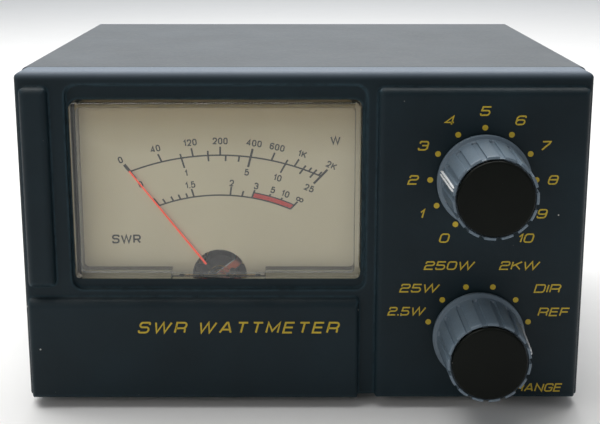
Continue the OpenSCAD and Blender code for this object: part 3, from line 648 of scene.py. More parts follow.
def lathe(profile, columns=128, closed=True):
    """Turned shape about z from (radius, z) points."""
    verts = []
    for i in range(columns):
        turn = 2 * math.pi * i / columns
        verts += [(r * math.sin(turn), r * math.cos(turn), z) for r, z in profile]
    return Solid(verts, tube_faces(columns, len(profile), wrapped=closed))


# ---- lettering ----

# Width over height, then strokes on a unit square: r is a round corner, o a closed loop
LOOP = "o 0,0r 1,0r 1,1r 0,1r"
S_CURVE = "1,.78 1,1r 0,1r 0,.53r 1,.53r 1,0r 0,0r 0,.22"
WIDE = {
    "0": (1.0, LOOP),
    "1": (0.42, "0,.66 1,1 1,0"),
    "2": (1.0, ".02,.74 .02,1r 1,1r 1,.52r 0,.52r 0,0 1,0"),
    "3": (1.0, ".02,.76 .02,1r 1,1r 1,0r 0,0r 0,.24 / .32,.52 1,.52"),
    "4": (1.0, ".78,0 .78,1 0,.26 1,.26"),
    "5": (1.0, "1,1 .06,1 .02,.56 1,.56r 1,0r 0,0r 0,.22"),
    "6": (1.0, ".98,.8 .98,1r 0,1r 0,.2 / o 0,0r 1,0r 1,.56r 0,.56r"),
    "7": (0.95, "0,1 1,1 .95,.8 .2,0"),
    "8": (1.0, LOOP + " / 0,.53 1,.53"),
    "9": (1.0, ".02,.2 .02,0r 1,0r 1,.8 / o 0,1r 1,1r 1,.44r 0,.44r"),
    "A": (1.2, "0,0 .44,1 .56,1 1,0 / .16,.3 .84,.3"),
    "D": (1.1, "o 0,0 1,0r 1,1r 0,1"),
    "E": (1.0, "1,1 0,1 0,0 1,0 / 0,.52 .94,.52"),
    "F": (1.0, "1,1 0,1 0,0 / 0,.5 .92,.5"),
    "G": (1.1, "1,.76 1,1r 0,1r 0,0r 1,0r 1,.48 .5,.48"),
    "I": (0.16, ".5,0 .5,1"),
    "K": (1.05, "0,0 0,1 / 1,1 .08,.46 / .36,.62 1,0"),
    "M": (1.25, "0,0 0,1 .5,.16 1,1 1,0"),
    "N": (1.1, "0,0 0,1 1,0 1,1"),
    "R": (1.1, "0,0 0,1 1,1r 1,.44r 0,.44 / .55,.44 .96,.44r .96,0"),
    "S": (1.05, S_CURVE),
    "T": (1.05, "0,1 1,1 / .5,1 .5,0"),
    "W": (1.65, "0,1 .2,0 .5,1 .7,0 1,1"),
    ".": (0.16, ".5,-.09 .5,.09"),
    " ": (0.4, ""),
}
PLAIN = {
    "0": (0.64, LOOP),
    "1": (0.40, "0,.72 .9,1 .9,0"),
    "2": (0.64, ".02,.70 .02,1r 1,1r 1,.52r 0,0 1,0"),
    "3": (0.64, ".02,.76 .02,1r .95,1r .95,.53r .35,.53 / .35,.53 1,.53r 1,0r 0,0r 0,.26"),
    "4": (0.68, ".76,0 .76,1 0,.28 1,.28"),
    "5": (0.64, ".92,1 .14,1 .05,.52 .3,.64r 1,.64r 1,0r 0,0r 0,.24"),
    "6": (0.64, ".96,.8 .96,1r 0,1r 0,.2 / o 0,0r 1,0r 1,.6r 0,.6r"),
    "K": (0.74, "0,0 0,1 / 1,1 .02,.38 / .36,.6 1,0"),
    "W": (1.2, "0,1 .25,0 .5,1 .75,0 1,1"),
    "S": (0.82, S_CURVE),
    "R": (0.84, "0,0 0,1 1,1r 1,.46r 0,.46 / .55,.46 1,0"),
    ".": WIDE["."],
    "∞": (1.15, "o 0,.2r .5,.2r .5,.8r 0,.8r / o .5,.2r 1,.2r 1,.8r .5,.8r"),
}
# Letters, stroke, corner radius, slant and gap, all over the height
PANEL_TYPE = (WIDE, 0.155, 0.24, 0.27, 0.16)
TITLE_TYPE = (WIDE, 0.150, 0.24, 0.27, 0.36)
DIAL_TYPE = (PLAIN, 0.185, 0.36, 0.0, 0.13)
STROKE_LIFT = 0.003 * MM
INK_SUNK = -0.01 * MM
INK_HIGH = 0.035 * MM


def strokes_of(text):
    """Strokes of a letter: whether each closes, and its points with whether they are round."""
    for stroke in filter(None, text.split(" / ")):
        closed = stroke.startswith("o ")
        points = stroke.removeprefix("o ").split()
        yield closed, [(*map(float, p.rstrip("r").split(",")), p.endswith("r")) for p in points]


def write_word(solid, word, centre, height, style, high=INK_HIGH, lean=0.0, width=None):
    """Capitals and figures, their middle at centre. A given width stretches the letters to it."""
    letters, pen_width, curve, slant, gap = style
    plain = sum(letters[c][0] for c in word) + gap * (len(word) - 1)
    stretch = (width / height - slant) / plain if width else 1
    pen = -plain * stretch / 2
    turned = Matrix.Rotation(-lean, 2)
    for letter in word:
        across = letters[letter][0] * stretch
        for layer, (closed, points) in enumerate(strokes_of(letters[letter][1])):
            spots = []
            for x, y, rounded in points:
                x = pen + pen_width / 2 + x * (across - pen_width)
                y = pen_width / 2 + y * (1 - pen_width) - 0.5
                spots.append((x, y, curve * rounded))
            path = round_corners(spots, closed)
            path = [centre + turned @ Vector(((p.x + slant * p.y) * height, p.y * height)) for p in path]
            lift = layer * STROKE_LIFT
            solid.ribbon(path, pen_width * height, INK_SUNK - lift, high + lift, closed)
        pen += across + gap * stretch


# Word, its middle from the range knob's axis and its width, in millimetres
RANGE_WORDS = (
    ("2.5W", -19.8, 6.8, 10.8),
    ("25W", -16.4, 13.5, 11.3),
    ("250W", -8.4, 20.0, 14.2),
    ("2KW", 10.8, 20.0, 11.4),
    ("DIR", 18.8, 13.4, 7.8),
    ("REF", 20.8, 6.6, 9.1),
    ("RANGE", 17.6, -15.8, 13.6),
)
# The same for the title, from the middle of the case's foot
TITLE = ("SWR WATTMETER", -17.9, 21.0, 56.4)
FIGURE_RING = 18.8 * MM
DOT_RING = 14.3 * MM
FIGURE_NUDGE = {0: -0.6 * MM, 10: 2.8 * MM}
# Degrees of the printed positions
CAL_STEPS = range(-150, 151, 30)
RANGE_STEPS = range(-75, 76, 30)


def along(degrees, reach):
    """Point at a distance, at an angle from straight up."""
    turn = math.radians(degrees)
    return Vector((reach * math.sin(turn), reach * math.cos(turn)))


def print_front(settings):
    """Gold words, figures and dots on the raised pads."""
    words, dots = Solid(), Solid()
    cal = Vector((CAL_AXIS.x, CAL_AXIS.z - CASE_LOW))
    about = Vector((RANGE_AXIS.x, RANGE_AXIS.z - CASE_LOW))
    for step, turn in enumerate(CAL_STEPS):
        spot = cal + along(turn, FIGURE_RING) + Vector((FIGURE_NUDGE.get(step, 0), 0))
        write_word(words, str(step), spot, settings.figure, PANEL_TYPE)
    for centre, steps in ((cal, CAL_STEPS), (about, RANGE_STEPS)):
        for turn in steps:
            dots.disc(centre + along(turn, DOT_RING), settings.dot, INK_SUNK, INK_HIGH)
    for word, x, z, width in RANGE_WORDS:
        spot = about + Vector((x * MM, z * MM))
        write_word(words, word, spot, settings.word, PANEL_TYPE, width=width * MM)
    word, x, z, width = TITLE
    write_word(words, word, Vector((x * MM, z * MM)), settings.title, TITLE_TYPE, width=width * MM)
    gold = ink("gold ink", settings.gold, 0.42)
    plane = facing_front(Vector((0, FRONT_Y, CASE_LOW)))
    make_piece("front_lettering", plane, words, gold)
    make_piece("front_dots", plane, dots, gold)


# ---- dial ----

# Degrees from straight up, figure above, figure below, tick above and tick below in millimetres
POWER_MARKS = (
    (-37.9, "0", "0", 2.5, 2.6),
    (-24.5, "40", "", 2.4, 0),
    (-16.0, "", "1", 1.2, 2.9),
    (-10.9, "120", "", 2.4, 0),
    (-4.3, "", "", 1.3, 1.65),
    (1.0, "200", "", 2.4, 0),
    (3.5, "", "", 0, 1.65),
    (9.4, "", "", 0, 1.65),
    (14.3, "400", "5", 2.4, 2.9),
    (23.2, "600", "", 2.4, 0),
    (29.1, "", "10", 1.3, 2.9),
    (32.75, "1K", "", 2.4, 0),
    (36.3, "", "", 1.3, 1.65),
    (38.6, "", "", 1.3, 0),
    (40.6, "", "", 1.3, 1.65),
    (42.6, "", "", 1.3, 0),
    (43.5, "2K", "25", 2.6, 2.9),
)
# Degrees from straight up, figure and tick in millimetres
SWR_MARKS = (
    (-37.4, "", 2.6),
    (-33.5, "", 1.5),
    (-28.7, "", 1.5),
    (-24.3, "", 1.5),
    (-19.8, "", 1.4),
    (-15.8, "1.5", 2.4),
    (7.6, "2", 2.5),
    (15.1, "", 1.6),
    (21.2, "3", 2.4),
    (30.2, "5", 2.3),
    (36.7, "10", 2.3),
    (44.1, "∞", 2.9),
)
DIAL_LINE = 0.42 * MM
DIAL_TICK = 0.48 * MM
RED_FROM, RED_TO, RED_WIDTH = 21.3, 44.0, 1.6 * MM
RED_HIGH = INK_HIGH * 0.8
TICK_HIGH = INK_HIGH * 1.1
ZERO_WIDTH, ZERO_HIGH = 0.85 * MM, INK_HIGH * 1.15
ARC_ASIDE = 0.45 * MM
# Word, its middle from the pivot and its height, in millimetres
DIAL_WORDS = (("W", 32.4, 40.1, 2.35), ("SWR", -26.0, 11.9, 2.6))


def arc_reach(degrees, radius, drop):
    """Distance from the pivot, at a needle angle, to an arc centred a little right of it and under it."""
    centre = Vector((ARC_ASIDE, -drop))
    ahead = along(degrees, 1).dot(centre)
    return ahead + math.sqrt(ahead**2 - centre.length_squared + radius**2)


def arc_path(start, end, radius, drop, steps=48):
    """Points of an arc between two needle angles."""
    angles = [start + (end - start) * i / steps for i in range(steps + 1)]
    return [along(a, arc_reach(a, radius, drop)) for a in angles]


def figure_on_arc(figures, text, degrees, radius, drop, extra, height):
    """Figure at a needle angle, on a ring above or below an arc, and leaning with it."""
    spot = along(degrees, arc_reach(degrees, radius + extra, drop))
    lean = math.atan2(spot.x - ARC_ASIDE, spot.y + drop)
    write_word(figures, text, spot, height, DIAL_TYPE, lean=lean)


def print_dial(settings, inks):
    """Power and SWR scales with their figures, and the red band."""
    lines, figures, red = Solid(), Solid(), Solid()
    watt = (settings.watt_radius, settings.watt_drop)
    swr = (settings.swr_radius, settings.swr_drop)

    def tick(degrees, start, end, width=DIAL_TICK, high=TICK_HIGH):
        lines.ribbon([along(degrees, start), along(degrees, end)], width, INK_SUNK, high)

    for arc, marks in ((watt, POWER_MARKS), (swr, SWR_MARKS)):
        lines.ribbon(arc_path(marks[0][0], marks[-1][0], *arc), DIAL_LINE, INK_SUNK, INK_HIGH)
    for degrees, above, below, up, down in POWER_MARKS:
        reach = arc_reach(degrees, *watt)
        width = DIAL_TICK * (1.25 if above and below else 1)
        tick(degrees, reach - down * MM, reach + up * MM, width)
        for text, extra in ((above, 4.0 * MM), (below, -4.4 * MM)):
            figure_on_arc(figures, text, degrees, *watt, extra, settings.figure)
    first = POWER_MARKS[0][0]
    zero = arc_reach(first, *watt)
    tick(first, zero + 0.1 * MM, zero + 2.5 * MM, ZERO_WIDTH, ZERO_HIGH)
    for degrees, text, up in SWR_MARKS:
        reach = arc_reach(degrees, *swr)
        red_here = RED_FROM + 1 < degrees < RED_TO
        tick(degrees, reach + RED_WIDTH * red_here, reach + up * MM)
        figure_on_arc(figures, text, degrees, *swr, 3.55 * MM, settings.figure)
    inner = arc_path(RED_FROM, RED_TO, *swr, 24)
    outer = [p + p.normalized() * RED_WIDTH for p in inner]
    red.band(inner, outer, INK_SUNK, RED_HIGH)
    lines.ribbon(outer, DIAL_LINE * 0.8, INK_SUNK, INK_HIGH)
    for word, x, z, height in DIAL_WORDS:
        write_word(figures, word, Vector((x * MM, z * MM)), height * MM, DIAL_TYPE)
    plane = facing_front(PIVOT)
    make_piece("dial_scales", plane, lines, inks[0])
    make_piece("dial_figures", plane, figures, inks[0])
    make_piece("dial_red_band", plane, red, inks[1])


# ---- knobs ----

# Radius and height of the body's section in millimetres, and how far a corner is rounded
KNOB_PROFILE = (
    (9.7, 0.8, 0),
    (12.45, 0.8, 0.25),
    (12.7, 1.2, 0.2),
    (12.7, 2.35, 0.22),
    (11.62, 2.55, 0.15),
    (11.0, 20.2, 0.6),
    (10.2, 20.2, 0.15),
    (10.2, 19.2, 0),
    (3.0, 19.2, 0),
    (3.0, 5.2, 0),
    (5.2, 5.2, 0),
    (5.2, 15.0, 0),
    (9.6, 15.0, 0),
)
CAP_PROFILE = ((0, 19.2, 0), (9.85, 19.2, 0), (9.85, 21.0, 0.55), (0, 21.0, 0))
FLUTED_RADIUS = 11.3
FLUTE_START = 4.35
# Heights of the extra rows on the wall, and what lies outside the wall's foot and below it
WALL_ROWS = [3.5 + 0.1 * k for k in range(14)] + [5.5 + 1.2 * k for k in range(12)]
WALL_INSIDE, WALL_FOOT = 10.6, 3.2
# Offsets of the columns from a groove's middle, as shares of the groove's half width
FLUTE_COLUMNS = (0, 0.3, 0.6, 0.86, 0.93, 1.0, 1.06, 1.12, 1.3, 1.7, 2.3)
# Height along the knob and radius of the pointer ribs' crest, and the ribs' sides and foot
POINTER_CREST = ((2.2, 11.95), (2.4, 12.2), (19.0, 11.40), (19.7, 11.25), (19.9, 11.0))
RIB_NEAR, RIB_FAR, RIB_FOOT = 0.24, 0.66, 10.8


def smooth_step(low, high, value):
    share = min(1, max(0, (value - low) / (high - low)))
    return share * share * (3 - 2 * share)


def knob_columns(settings):
    """Angles round a knob, closest together at the walls of the grooves."""
    pitch = 2 * math.pi / settings.flutes
    half = settings.flute_width / 2 / (FLUTED_RADIUS * MM)
    turns = []
    for flute in range(settings.flutes):
        middle = (flute - 0.5) * pitch
        turns += [middle + share * half for share in FLUTE_COLUMNS]
        turns += [middle - share * half for share in FLUTE_COLUMNS[1:]]
        turns.append(middle + pitch / 2)
    return sorted(turns)


def knob_rows():
    """Points down the section, closest together where the grooves begin."""
    corners = round_corners(KNOB_PROFILE, closed=True, steps=4)
    rows = []
    for here, ahead in zip(corners, corners[1:] + corners[:1]):
        rows.append(here)
        rise = ahead.y - here.y
        if here.x > WALL_INSIDE and rise > 5:
            inside = [z for z in WALL_ROWS if here.y + 0.05 < z < ahead.y - 0.05]
            rows += [here.lerp(ahead, (z - here.y) / rise) for z in inside]
    return rows


def fluted_body(settings):
    """Knob moulding about z: turned section with flat-bottomed grooves that run out at the front."""
    rows, turns = knob_rows(), knob_columns(settings)
    half, depth = settings.flute_width / 2 / MM, settings.flute_depth / MM
    pitch = 2 * math.pi / settings.flutes
    verts = []
    for turn in turns:
        away = turn / pitch + 0.5
        across = abs(away - round(away)) * pitch * FLUTED_RADIUS
        for r, z in rows:
            if r > WALL_INSIDE and z > WALL_FOOT:
                reach = math.hypot(across, max(0.0, FLUTE_START - z))
                r -= depth * (1 - smooth_step(half * 0.94, half * 1.06, reach))
            verts.append((r * math.sin(turn) * MM, r * math.cos(turn) * MM, z * MM))
    return Solid(verts, tube_faces(len(turns), len(rows)))


def pointer_lines():
    """Two white ribs side by side, from the skirt's rim to the front."""
    solid = Solid()
    for side in (-1, 1):
        near, far = side * RIB_NEAR, side * RIB_FAR
        base = len(solid.verts)
        for z, crest in POINTER_CREST:
            section = (
                (near, RIB_FOOT),
                (near, crest - 0.08),
                (near + side * 0.07, crest),
                (far - side * 0.08, crest - 0.01),
                (far, crest - 0.10),
                (far, RIB_FOOT),
            )
            solid.verts += [(x * MM, r * MM, z * MM) for x, r in section]
        solid.faces += tube_faces(len(POINTER_CREST), 6, base, closed=False, capped=True)
    return solid


def make_knob(prefix, axis, rest, settings, finishes):
    """One knob in three pieces, turned to its rest angle about its axis."""
    turned = facing_front(axis, rest)
    ring = [(p.x * MM, p.y * MM) for p in round_corners(CAP_PROFILE, steps=7)]
    parts = (
        ("knob_body", fluted_body(settings), "knob_grey", 50, "knob"),
        ("knob_disc", lathe(ring, closed=False), "cap_black", 40, "knob_cap"),
        ("pointer_lines", pointer_lines(), "pointer_white", 40, "knob_pointer"),
    )
    for (part, shape, slot, smooth, node), finish in zip(parts, finishes):
        piece = make_piece(f"{prefix}_{part}", turned, shape, finish, f"{prefix}_control", smooth)
        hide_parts(f"{prefix}_{node}")


# ---- sockets ----

# Millimetres along the socket from the rear wall, and radii
THREAD_PITCH = 25.4 / 24
THREAD_DEPTH = 0.60
THREAD_RADIUS = 7.94
THREAD_FROM, THREAD_TO = 2.6, 17.6
SHELL_REACH = 18.0
NOTCH_FLOOR, NOTCH_HALF = 16.6, 0.8
BARREL_RIM = ((5.9, -6.0), (5.9, 17.75), (6.15, SHELL_REACH), (7.1, SHELL_REACH), (7.35, 17.75))
BARREL_FOOT = ((7.84, 2.0), (7.84, -4.0), (6.6, -4.0), (6.6, -6.0))
# Flange half side, thickness, screw hole, its pitch and bore in millimetres
FLANGE = (12.7, 2, 1.55, 18.2, 7.8)
FLANGE_EDGE = 0.12 * MM
CORNERS = ((-1, -1), (1, -1), (1, 1), (-1, 1))


def socket_barrel():
    """Turned shell with a real helical thread outside and four notches in its rim."""
    run = THREAD_TO - THREAD_FROM
    rows = round(run / (THREAD_PITCH / 10))
    threaded = [(THREAD_RADIUS, THREAD_TO - run * k / rows) for k in range(rows + 1)]
    barrel = lathe((*BARREL_RIM, *threaded, *BARREL_FOOT), 144)
    shaped = []
    for x, y, z in barrel.verts:
        r = math.hypot(x, y)
        turn = math.atan2(x, y)
        if r > 7.9:
            phase = (z / THREAD_PITCH + turn / (2 * math.pi)) % 1
            crest = abs(phase - 0.5) * 2
            groove = THREAD_DEPTH * min(1, max(0, 1.25 * crest - 0.125))
            lead_in = 0.55 * smooth_step(THREAD_TO - 0.7, THREAD_TO, z)
            scale = (r - max(groove * smooth_step(THREAD_FROM, THREAD_FROM + 1, z), lead_in)) / r
            x, y = x * scale, y * scale
        quarter = (turn - math.pi / 4) / (math.pi / 2)
        off = abs(quarter - round(quarter)) * math.pi / 2 * 7
        if z > NOTCH_FLOOR and off < NOTCH_HALF:
            z = NOTCH_FLOOR
        shaped.append((x * MM, y * MM, z * MM))
    return Solid(shaped, barrel.faces)


def flange_mesh():
    """Square plate with rounded corners, a bore and four holes, with softened edges."""
    half, thick, hole, pitch, bore = (size * MM for size in FLANGE)
    curve = bpy.data.curves.new("flange", "CURVE")
    curve.dimensions = "2D"
    curve.fill_mode = "BOTH"
    curve.extrude = thick / 2 - FLANGE_EDGE
    curve.bevel_depth = FLANGE_EDGE
    curve.bevel_resolution = 2
    outline = round_corners([(s * half, t * half, 1.5 * MM) for s, t in CORNERS], True)
    loops = [[p * (1 - FLANGE_EDGE / half) for p in outline]]
    holes = [(0, 0, bore)] + [(s * pitch / 2, t * pitch / 2, hole) for s, t in CORNERS]
    for x, y, radius in holes:
        turns = [2 * math.pi * i / 40 for i in range(40)]
        loops.append([(x + radius * math.cos(a), y + radius * math.sin(a)) for a in turns])
    for points in loops:
        spline = curve.splines.new("POLY")
        spline.points.add(len(points) - 1)
        for spot, point in zip(spline.points, points):
            spot.co = (point[0], point[1], 0, 1)
        spline.use_cyclic_u = True
    maker = add_object("flange", curve)
    bpy.context.view_layer.update()
    mesh = maker.evaluated_get(bpy.context.evaluated_depsgraph_get()).to_mesh()
    verts = [(v.co.x, v.co.y, v.co.z + thick / 2) for v in mesh.vertices]
    faces = [tuple(p.vertices) for p in mesh.polygons]
    maker.to_mesh_clear()
    bpy.data.objects.remove(maker)
    bpy.data.curves.remove(curve)
    return Solid(verts, faces)


def make_socket(name, node):
    """Threaded coaxial socket in place of its plain CAD shell."""
    low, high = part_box(node)
    centre = Vector(((low.x + high.x) / 2, high.y - SHELL_REACH * MM, (low.z + high.z) / 2))
    outward = Matrix.Translation(centre) @ Matrix.Rotation(math.radians(-90), 4, "X")
    solid = socket_barrel()
    solid.add(flange_mesh())
    finish = shared("bright nickel")
    piece = make_piece(name, outward, solid, finish, smooth=35)
    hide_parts(node)


# ---- moving coil ----

# Millimetres: the innermost turn's half width, front and back, and the wire's radius
COIL_HALF, COIL_FRONT, COIL_BACK, WIRE = 5.9, -4.5, -17.5, 0.15
COIL_LAYERS, LAYER_TURNS, TURN_PITCH = 3, 6, 0.33
WIRE_SIDES = 6


def wind_coil(finish):
    """Turns of fine wire round the former, in three layers."""
    solid = Solid()
    for layer in range(COIL_LAYERS):
        grow = WIRE + 2 * WIRE * layer
        half, front, back = COIL_HALF + grow, COIL_FRONT + grow, COIL_BACK - grow
        loop = round_corners([(s * half, front if t > 0 else back, 0.5) for s, t in CORNERS], True, 3)
        for turn in range(LAYER_TURNS):
            height = (turn - 2.5) * TURN_PITCH
            base = len(solid.verts)
            for i, here in enumerate(loop):
                way = (loop[(i + 1) % len(loop)] - loop[i - 1]).normalized()
                out = Vector((way.y, -way.x))
                for k in range(WIRE_SIDES):
                    a = 2 * math.pi * k / WIRE_SIDES
                    spot = here + out * (WIRE * math.cos(a))
                    solid.verts.append((spot.x * MM, (height + WIRE * math.sin(a)) * MM, spot.y * MM))
            solid.faces += tube_faces(len(loop), WIRE_SIDES, base)
    turned = facing_front(PIVOT, NEEDLE_REST)
    piece = make_piece("coil_turns", turned, solid, finish, "pointer", 60)
    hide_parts("coil_winding")


# ---- stage ----

FLOOR_WIDE, FLOOR_FRONT, FLOOR_BACK, FLOOR_RISE, FLOOR_STEPS = 4.0, -3.0, 2.2, 1.2, 16
# Setting, place, aim, size and colour of each lamp
LAMPS = (
    ("overhead", (-0.15, 0.25, 1.0), (0, 0.02, 0.05), (1.3, 0.9), (1.0, 0.99, 0.97)),
    ("glow", (0.0, 1.6, 0.75), (0, 0, 0.08), (2.4, 0.9), (0.90, 0.95, 1.0)),
    ("fill", (-0.7, -1.1, 0.55), (0, -0.06, 0.05), (0.7, 0.5), (1.0, 0.97, 0.92)),
)
SURROUNDINGS = (0.95, 0.97, 1.0)
SURROUNDINGS_STRENGTH = 0.22
# The camera's place from the middle of the front's foot, and how far it looks down in degrees
CAMERA_ASIDE, CAMERA_AWAY, CAMERA_HEIGHT, CAMERA_TILT = -1.0 * MM, 290 * MM, 136.7 * MM, 12.55
CAMERA_SHIFT = -0.09


def set_floor(settings):
    """Wide floor that curves up into a backdrop far behind."""
    profile = [(FLOOR_FRONT, 0.0), (FLOOR_BACK, 0.0)]
    for k in range(1, FLOOR_STEPS + 1):
        turn = math.pi / 2 * k / FLOOR_STEPS
        profile.append((FLOOR_BACK + FLOOR_RISE * math.sin(turn), FLOOR_RISE * (1 - math.cos(turn))))
    profile.append((FLOOR_BACK + FLOOR_RISE, FLOOR_RISE + 2.0))
    verts = [(side * FLOOR_WIDE, y, z) for y, z in profile for side in (-1, 1)]
    faces = [(2 * i, 2 * i + 1, 2 * i + 3, 2 * i + 2) for i in range(len(profile) - 1)]
    mesh = bpy.data.meshes.new("floor")
    mesh.from_pydata(verts, [], faces)
    for face in mesh.polygons:
        face.use_smooth = True
    material, tree, shader = new_material("floor", Roughness=0.8, Specular_IOR_Level=0.2)
    grain = place_group(tree, "moulded grain", Scale=200.0, Coarse=0.5)
    plug(tree, shader.inputs["Base Color"], mottled(tree, settings.floor, grain["Mottle"], 0.985, 1.0))
    mesh.materials.append(material)
    add_object("floor", mesh)


def set_lights(settings):
    """Large light overhead and behind, weak fill in front, even pale surroundings."""
    for name, place, target, size, colour in LAMPS:
        lamp = bpy.data.lights.new(name, "AREA")
        lamp.shape = "RECTANGLE"
        lamp.size, lamp.size_y = size
        lamp.energy = getattr(settings, name)
        lamp.color = colour
        thing = add_object(name, lamp)
        thing.location = place
        thing.rotation_euler = (Vector(target) - Vector(place)).to_track_quat("-Z", "Y").to_euler()
    world = bpy.data.worlds.new("studio")
    bpy.context.scene.world = world
    world.use_nodes = True
    back = world.node_tree.nodes["Background"]
    back.inputs["Color"].default_value = (*SURROUNDINGS, 1)
    back.inputs["Strength"].default_value = SURROUNDINGS_STRENGTH


def set_camera(settings):
    """Camera a little above and in front, looking down at the front."""
    lens = bpy.data.cameras.new("camera")
    lens.lens = settings.lens
    lens.sensor_width = 36
    lens.shift_y = CAMERA_SHIFT
    lens.clip_start, lens.clip_end = 0.01, 50
    camera = add_object("camera", lens)
    camera.location = (CAMERA_ASIDE, FRONT_Y - CAMERA_AWAY, CAMERA_HEIGHT)
    camera.rotation_euler = (math.radians(90 - CAMERA_TILT), 0, 0)
    bpy.context.scene.camera = camera
    bpy.context.scene.view_settings.view_transform = "Standard"


# ---- operators ----


class SWR_OT_set_stage(bpy.types.Operator):
    """Pale floor, soft lights and the camera"""

    bl_idname = "swr.set_stage"
    bl_label = "Set the stage"

    def execute(self, context):
        settings = context.scene.swr_studio
        set_floor(settings)
        set_lights(settings)
        set_camera(settings)
        return {"FINISHED"}


class SWR_OT_finish_case(bpy.types.Operator):
    """Finishes of the bezel, cover, chassis, screws and feet"""

    bl_idname = "swr.finish_case"
    bl_label = "Finish the case"

    def execute(self, context):
        settings = context.scene.swr_case
        # The bezel's edges are lightened by rubbing and painted highlight, and its top face by painted
        # highlight
        look = {"edge": 0.0014, "dust": settings.dust, "wear": 0.8, "top": PAINTED_TOP_HIGHLIGHT}
        bezel = moulded_plastic(
            "bezel moulding", settings.plastic, 1700.0, 0.42, 0.35, Specular_IOR_Level=0.16, **look
        )
        use(bezel, "front_bezel")
        use(textured_paint("cover paint", settings.paint), "top_cover")
        use("zinc plate", "chassis", "meter_strap", "pot_can", "switch_frame", "detent_spring")
        use("bright nickel", "case_screws", "inner_screws", "socket_screws", "socket_nuts")
        use("foot rubber", "feet")
        return {"FINISHED"}


class SWR_OT_finish_meter(bpy.types.Operator):
    """Finishes of the window, dial and moving-coil movement"""

    bl_idname = "swr.finish_meter"
    bl_label = "Finish the meter"

    def execute(self, context):
        use(clear_acrylic(), "meter_window")
        use("matt black moulding", "meter_case")
        use(dial_paint(context.scene.swr_dial.cream), "dial_plate")
        use(fluorescent_paint(), "needle")
        use("turned brass", "dial_screws", "bearing_bridges", "movement_posts", "hairsprings", "zero_lever")
        use("turned brass", "terminal_studs", "terminal_nuts")
        use("bright nickel", "jewel_screws", "pivot_staffs")
        use("bare aluminium", "coil_former")
        use("blackened steel", "needle_hub")
        use("soft iron", "return_ring")
        use("sintered magnet", "magnet_core")
        use("white nylon", "zero_screw")
        return {"FINISHED"}


class SWR_OT_print_dial(bpy.types.Operator):
    """Scales, figures and red band on the dial"""

    bl_idname = "swr.print_dial"
    bl_label = "Print the dial"

    def execute(self, context):
        inks = (ink("dial ink", context.scene.swr_print.black), ink("red ink", (0.55, 0.035, 0.030)))
        print_dial(context.scene.swr_dial, inks)
        return {"FINISHED"}


class SWR_OT_print_front(bpy.types.Operator):
    """Gold lettering and dots on the front"""

    bl_idname = "swr.print_front"
    bl_label = "Print the front"

    def execute(self, context):
        print_front(context.scene.swr_print)
        return {"FINISHED"}


class SWR_OT_make_knobs(bpy.types.Operator):
    """Both fluted knobs with their caps and pointer lines"""

    bl_idname = "swr.make_knobs"
    bl_label = "Make the knobs"

    def execute(self, context):
        settings = context.scene.swr_knob
        grey = moulded_plastic("knob moulding", settings.grey, 2000.0, 0.42, 0.18, 0.0002, 0.25, 0.3)
        gloss = (900.0, 0.13, 0.02, 0.0003, 0.3, 0.1)
        black = moulded_plastic("gloss black cap", (0.005, 0.006, 0.005), *gloss, Specular_IOR_Level=0.06)
        white = moulded_plastic("pointer white", (0.72, 0.74, 0.75), 1500.0, 0.45, 0.05, 0.0001, 0, 0)
        make_knob("cal", CAL_AXIS, CAL_REST, settings, (grey, black, white))
        make_knob("range", RANGE_AXIS, RANGE_REST, settings, (grey, black, white))
        return {"FINISHED"}


class SWR_OT_make_sockets(bpy.types.Operator):
    """Threaded coaxial sockets, their insulators and contacts"""

    bl_idname = "swr.make_sockets"
    bl_label = "Make the sockets"

    def execute(self, context):
        make_socket("transmitter_socket_shell", "transmitter_socket")
        make_socket("antenna_socket_shell", "antenna_socket")
        use("ptfe", "socket_insulators")
        use("silver plate", "socket_contacts")
        return {"FINISHED"}


class SWR_OT_wind_coil(bpy.types.Operator):
    """Wire turns of the moving coil"""

    bl_idname = "swr.wind_coil"
    bl_label = "Wind the coil"

    def execute(self, context):
        wind_coil(shared("coil wire"))
        return {"FINISHED"}


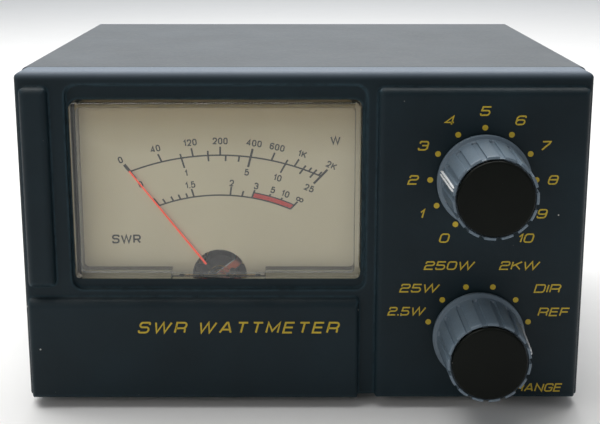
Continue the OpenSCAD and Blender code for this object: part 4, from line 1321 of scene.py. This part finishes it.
class SWR_OT_finish_inside(bpy.types.Operator):
    """Finishes of the controls, boards and leads inside"""

    bl_idname = "swr.finish_inside"
    bl_label = "Finish the inside"

    def execute(self, context):
        use("turned brass", "pot_bushing", "switch_shaft", "detent_wheel")
        use("bare aluminium", "pot_shaft")
        use("brown laminate", "pot_track", "switch_wafer")
        use("white nylon", "pot_wiper", "switch_rotor")
        use("bright nickel", "switch_contacts", "pot_nut", "switch_nut", "panel_washers")
        use("tinned steel", "line_trough")
        use("enamelled copper", "line_rod")
        use("board green", "coupler_board", "main_board")
        use("lacquered parts", "board_parts")
        use("red lead", "meter_leads")
        use("blue lead", "hookup_leads")
        return {"FINISHED"}


class SWR_PT_panel(bpy.types.Panel):
    """Steps of the finish, in order"""

    bl_idname = "SWR_PT_panel"
    bl_label = "SWR meter"
    bl_space_type = "VIEW_3D"
    bl_region_type = "UI"
    bl_category = "SWR meter"

    def draw(self, context):
        for group in SETTINGS:
            box = self.layout.box()
            for prop in SETTINGS[group].__annotations__:
                box.prop(getattr(context.scene, group), prop)
        for step in STEPS:
            self.layout.operator(step.bl_idname)


SETTINGS = {
    "swr_case": CaseSettings,
    "swr_print": PrintSettings,
    "swr_dial": DialSettings,
    "swr_knob": KnobSettings,
    "swr_studio": StudioSettings,
}
STEPS = (
    SWR_OT_set_stage,
    SWR_OT_finish_case,
    SWR_OT_finish_meter,
    SWR_OT_print_dial,
    SWR_OT_print_front,
    SWR_OT_make_knobs,
    SWR_OT_make_sockets,
    SWR_OT_wind_coil,
    SWR_OT_finish_inside,
)


def register():
    for cls in (*SETTINGS.values(), *STEPS, SWR_PT_panel):
        bpy.utils.register_class(cls)
    for name, group in SETTINGS.items():
        setattr(bpy.types.Scene, name, PointerProperty(type=group))


def unregister():
    for name in SETTINGS:
        delattr(bpy.types.Scene, name)
    for cls in reversed((*SETTINGS.values(), *STEPS, SWR_PT_panel)):
        bpy.utils.unregister_class(cls)


def main():
    """Runs every step in order."""
    register()
    for step in STEPS:
        group, name = step.bl_idname.split(".")
        getattr(getattr(bpy.ops, group), name)()
    bpy.context.view_layer.update()


if __name__ == "__main__":
    main()
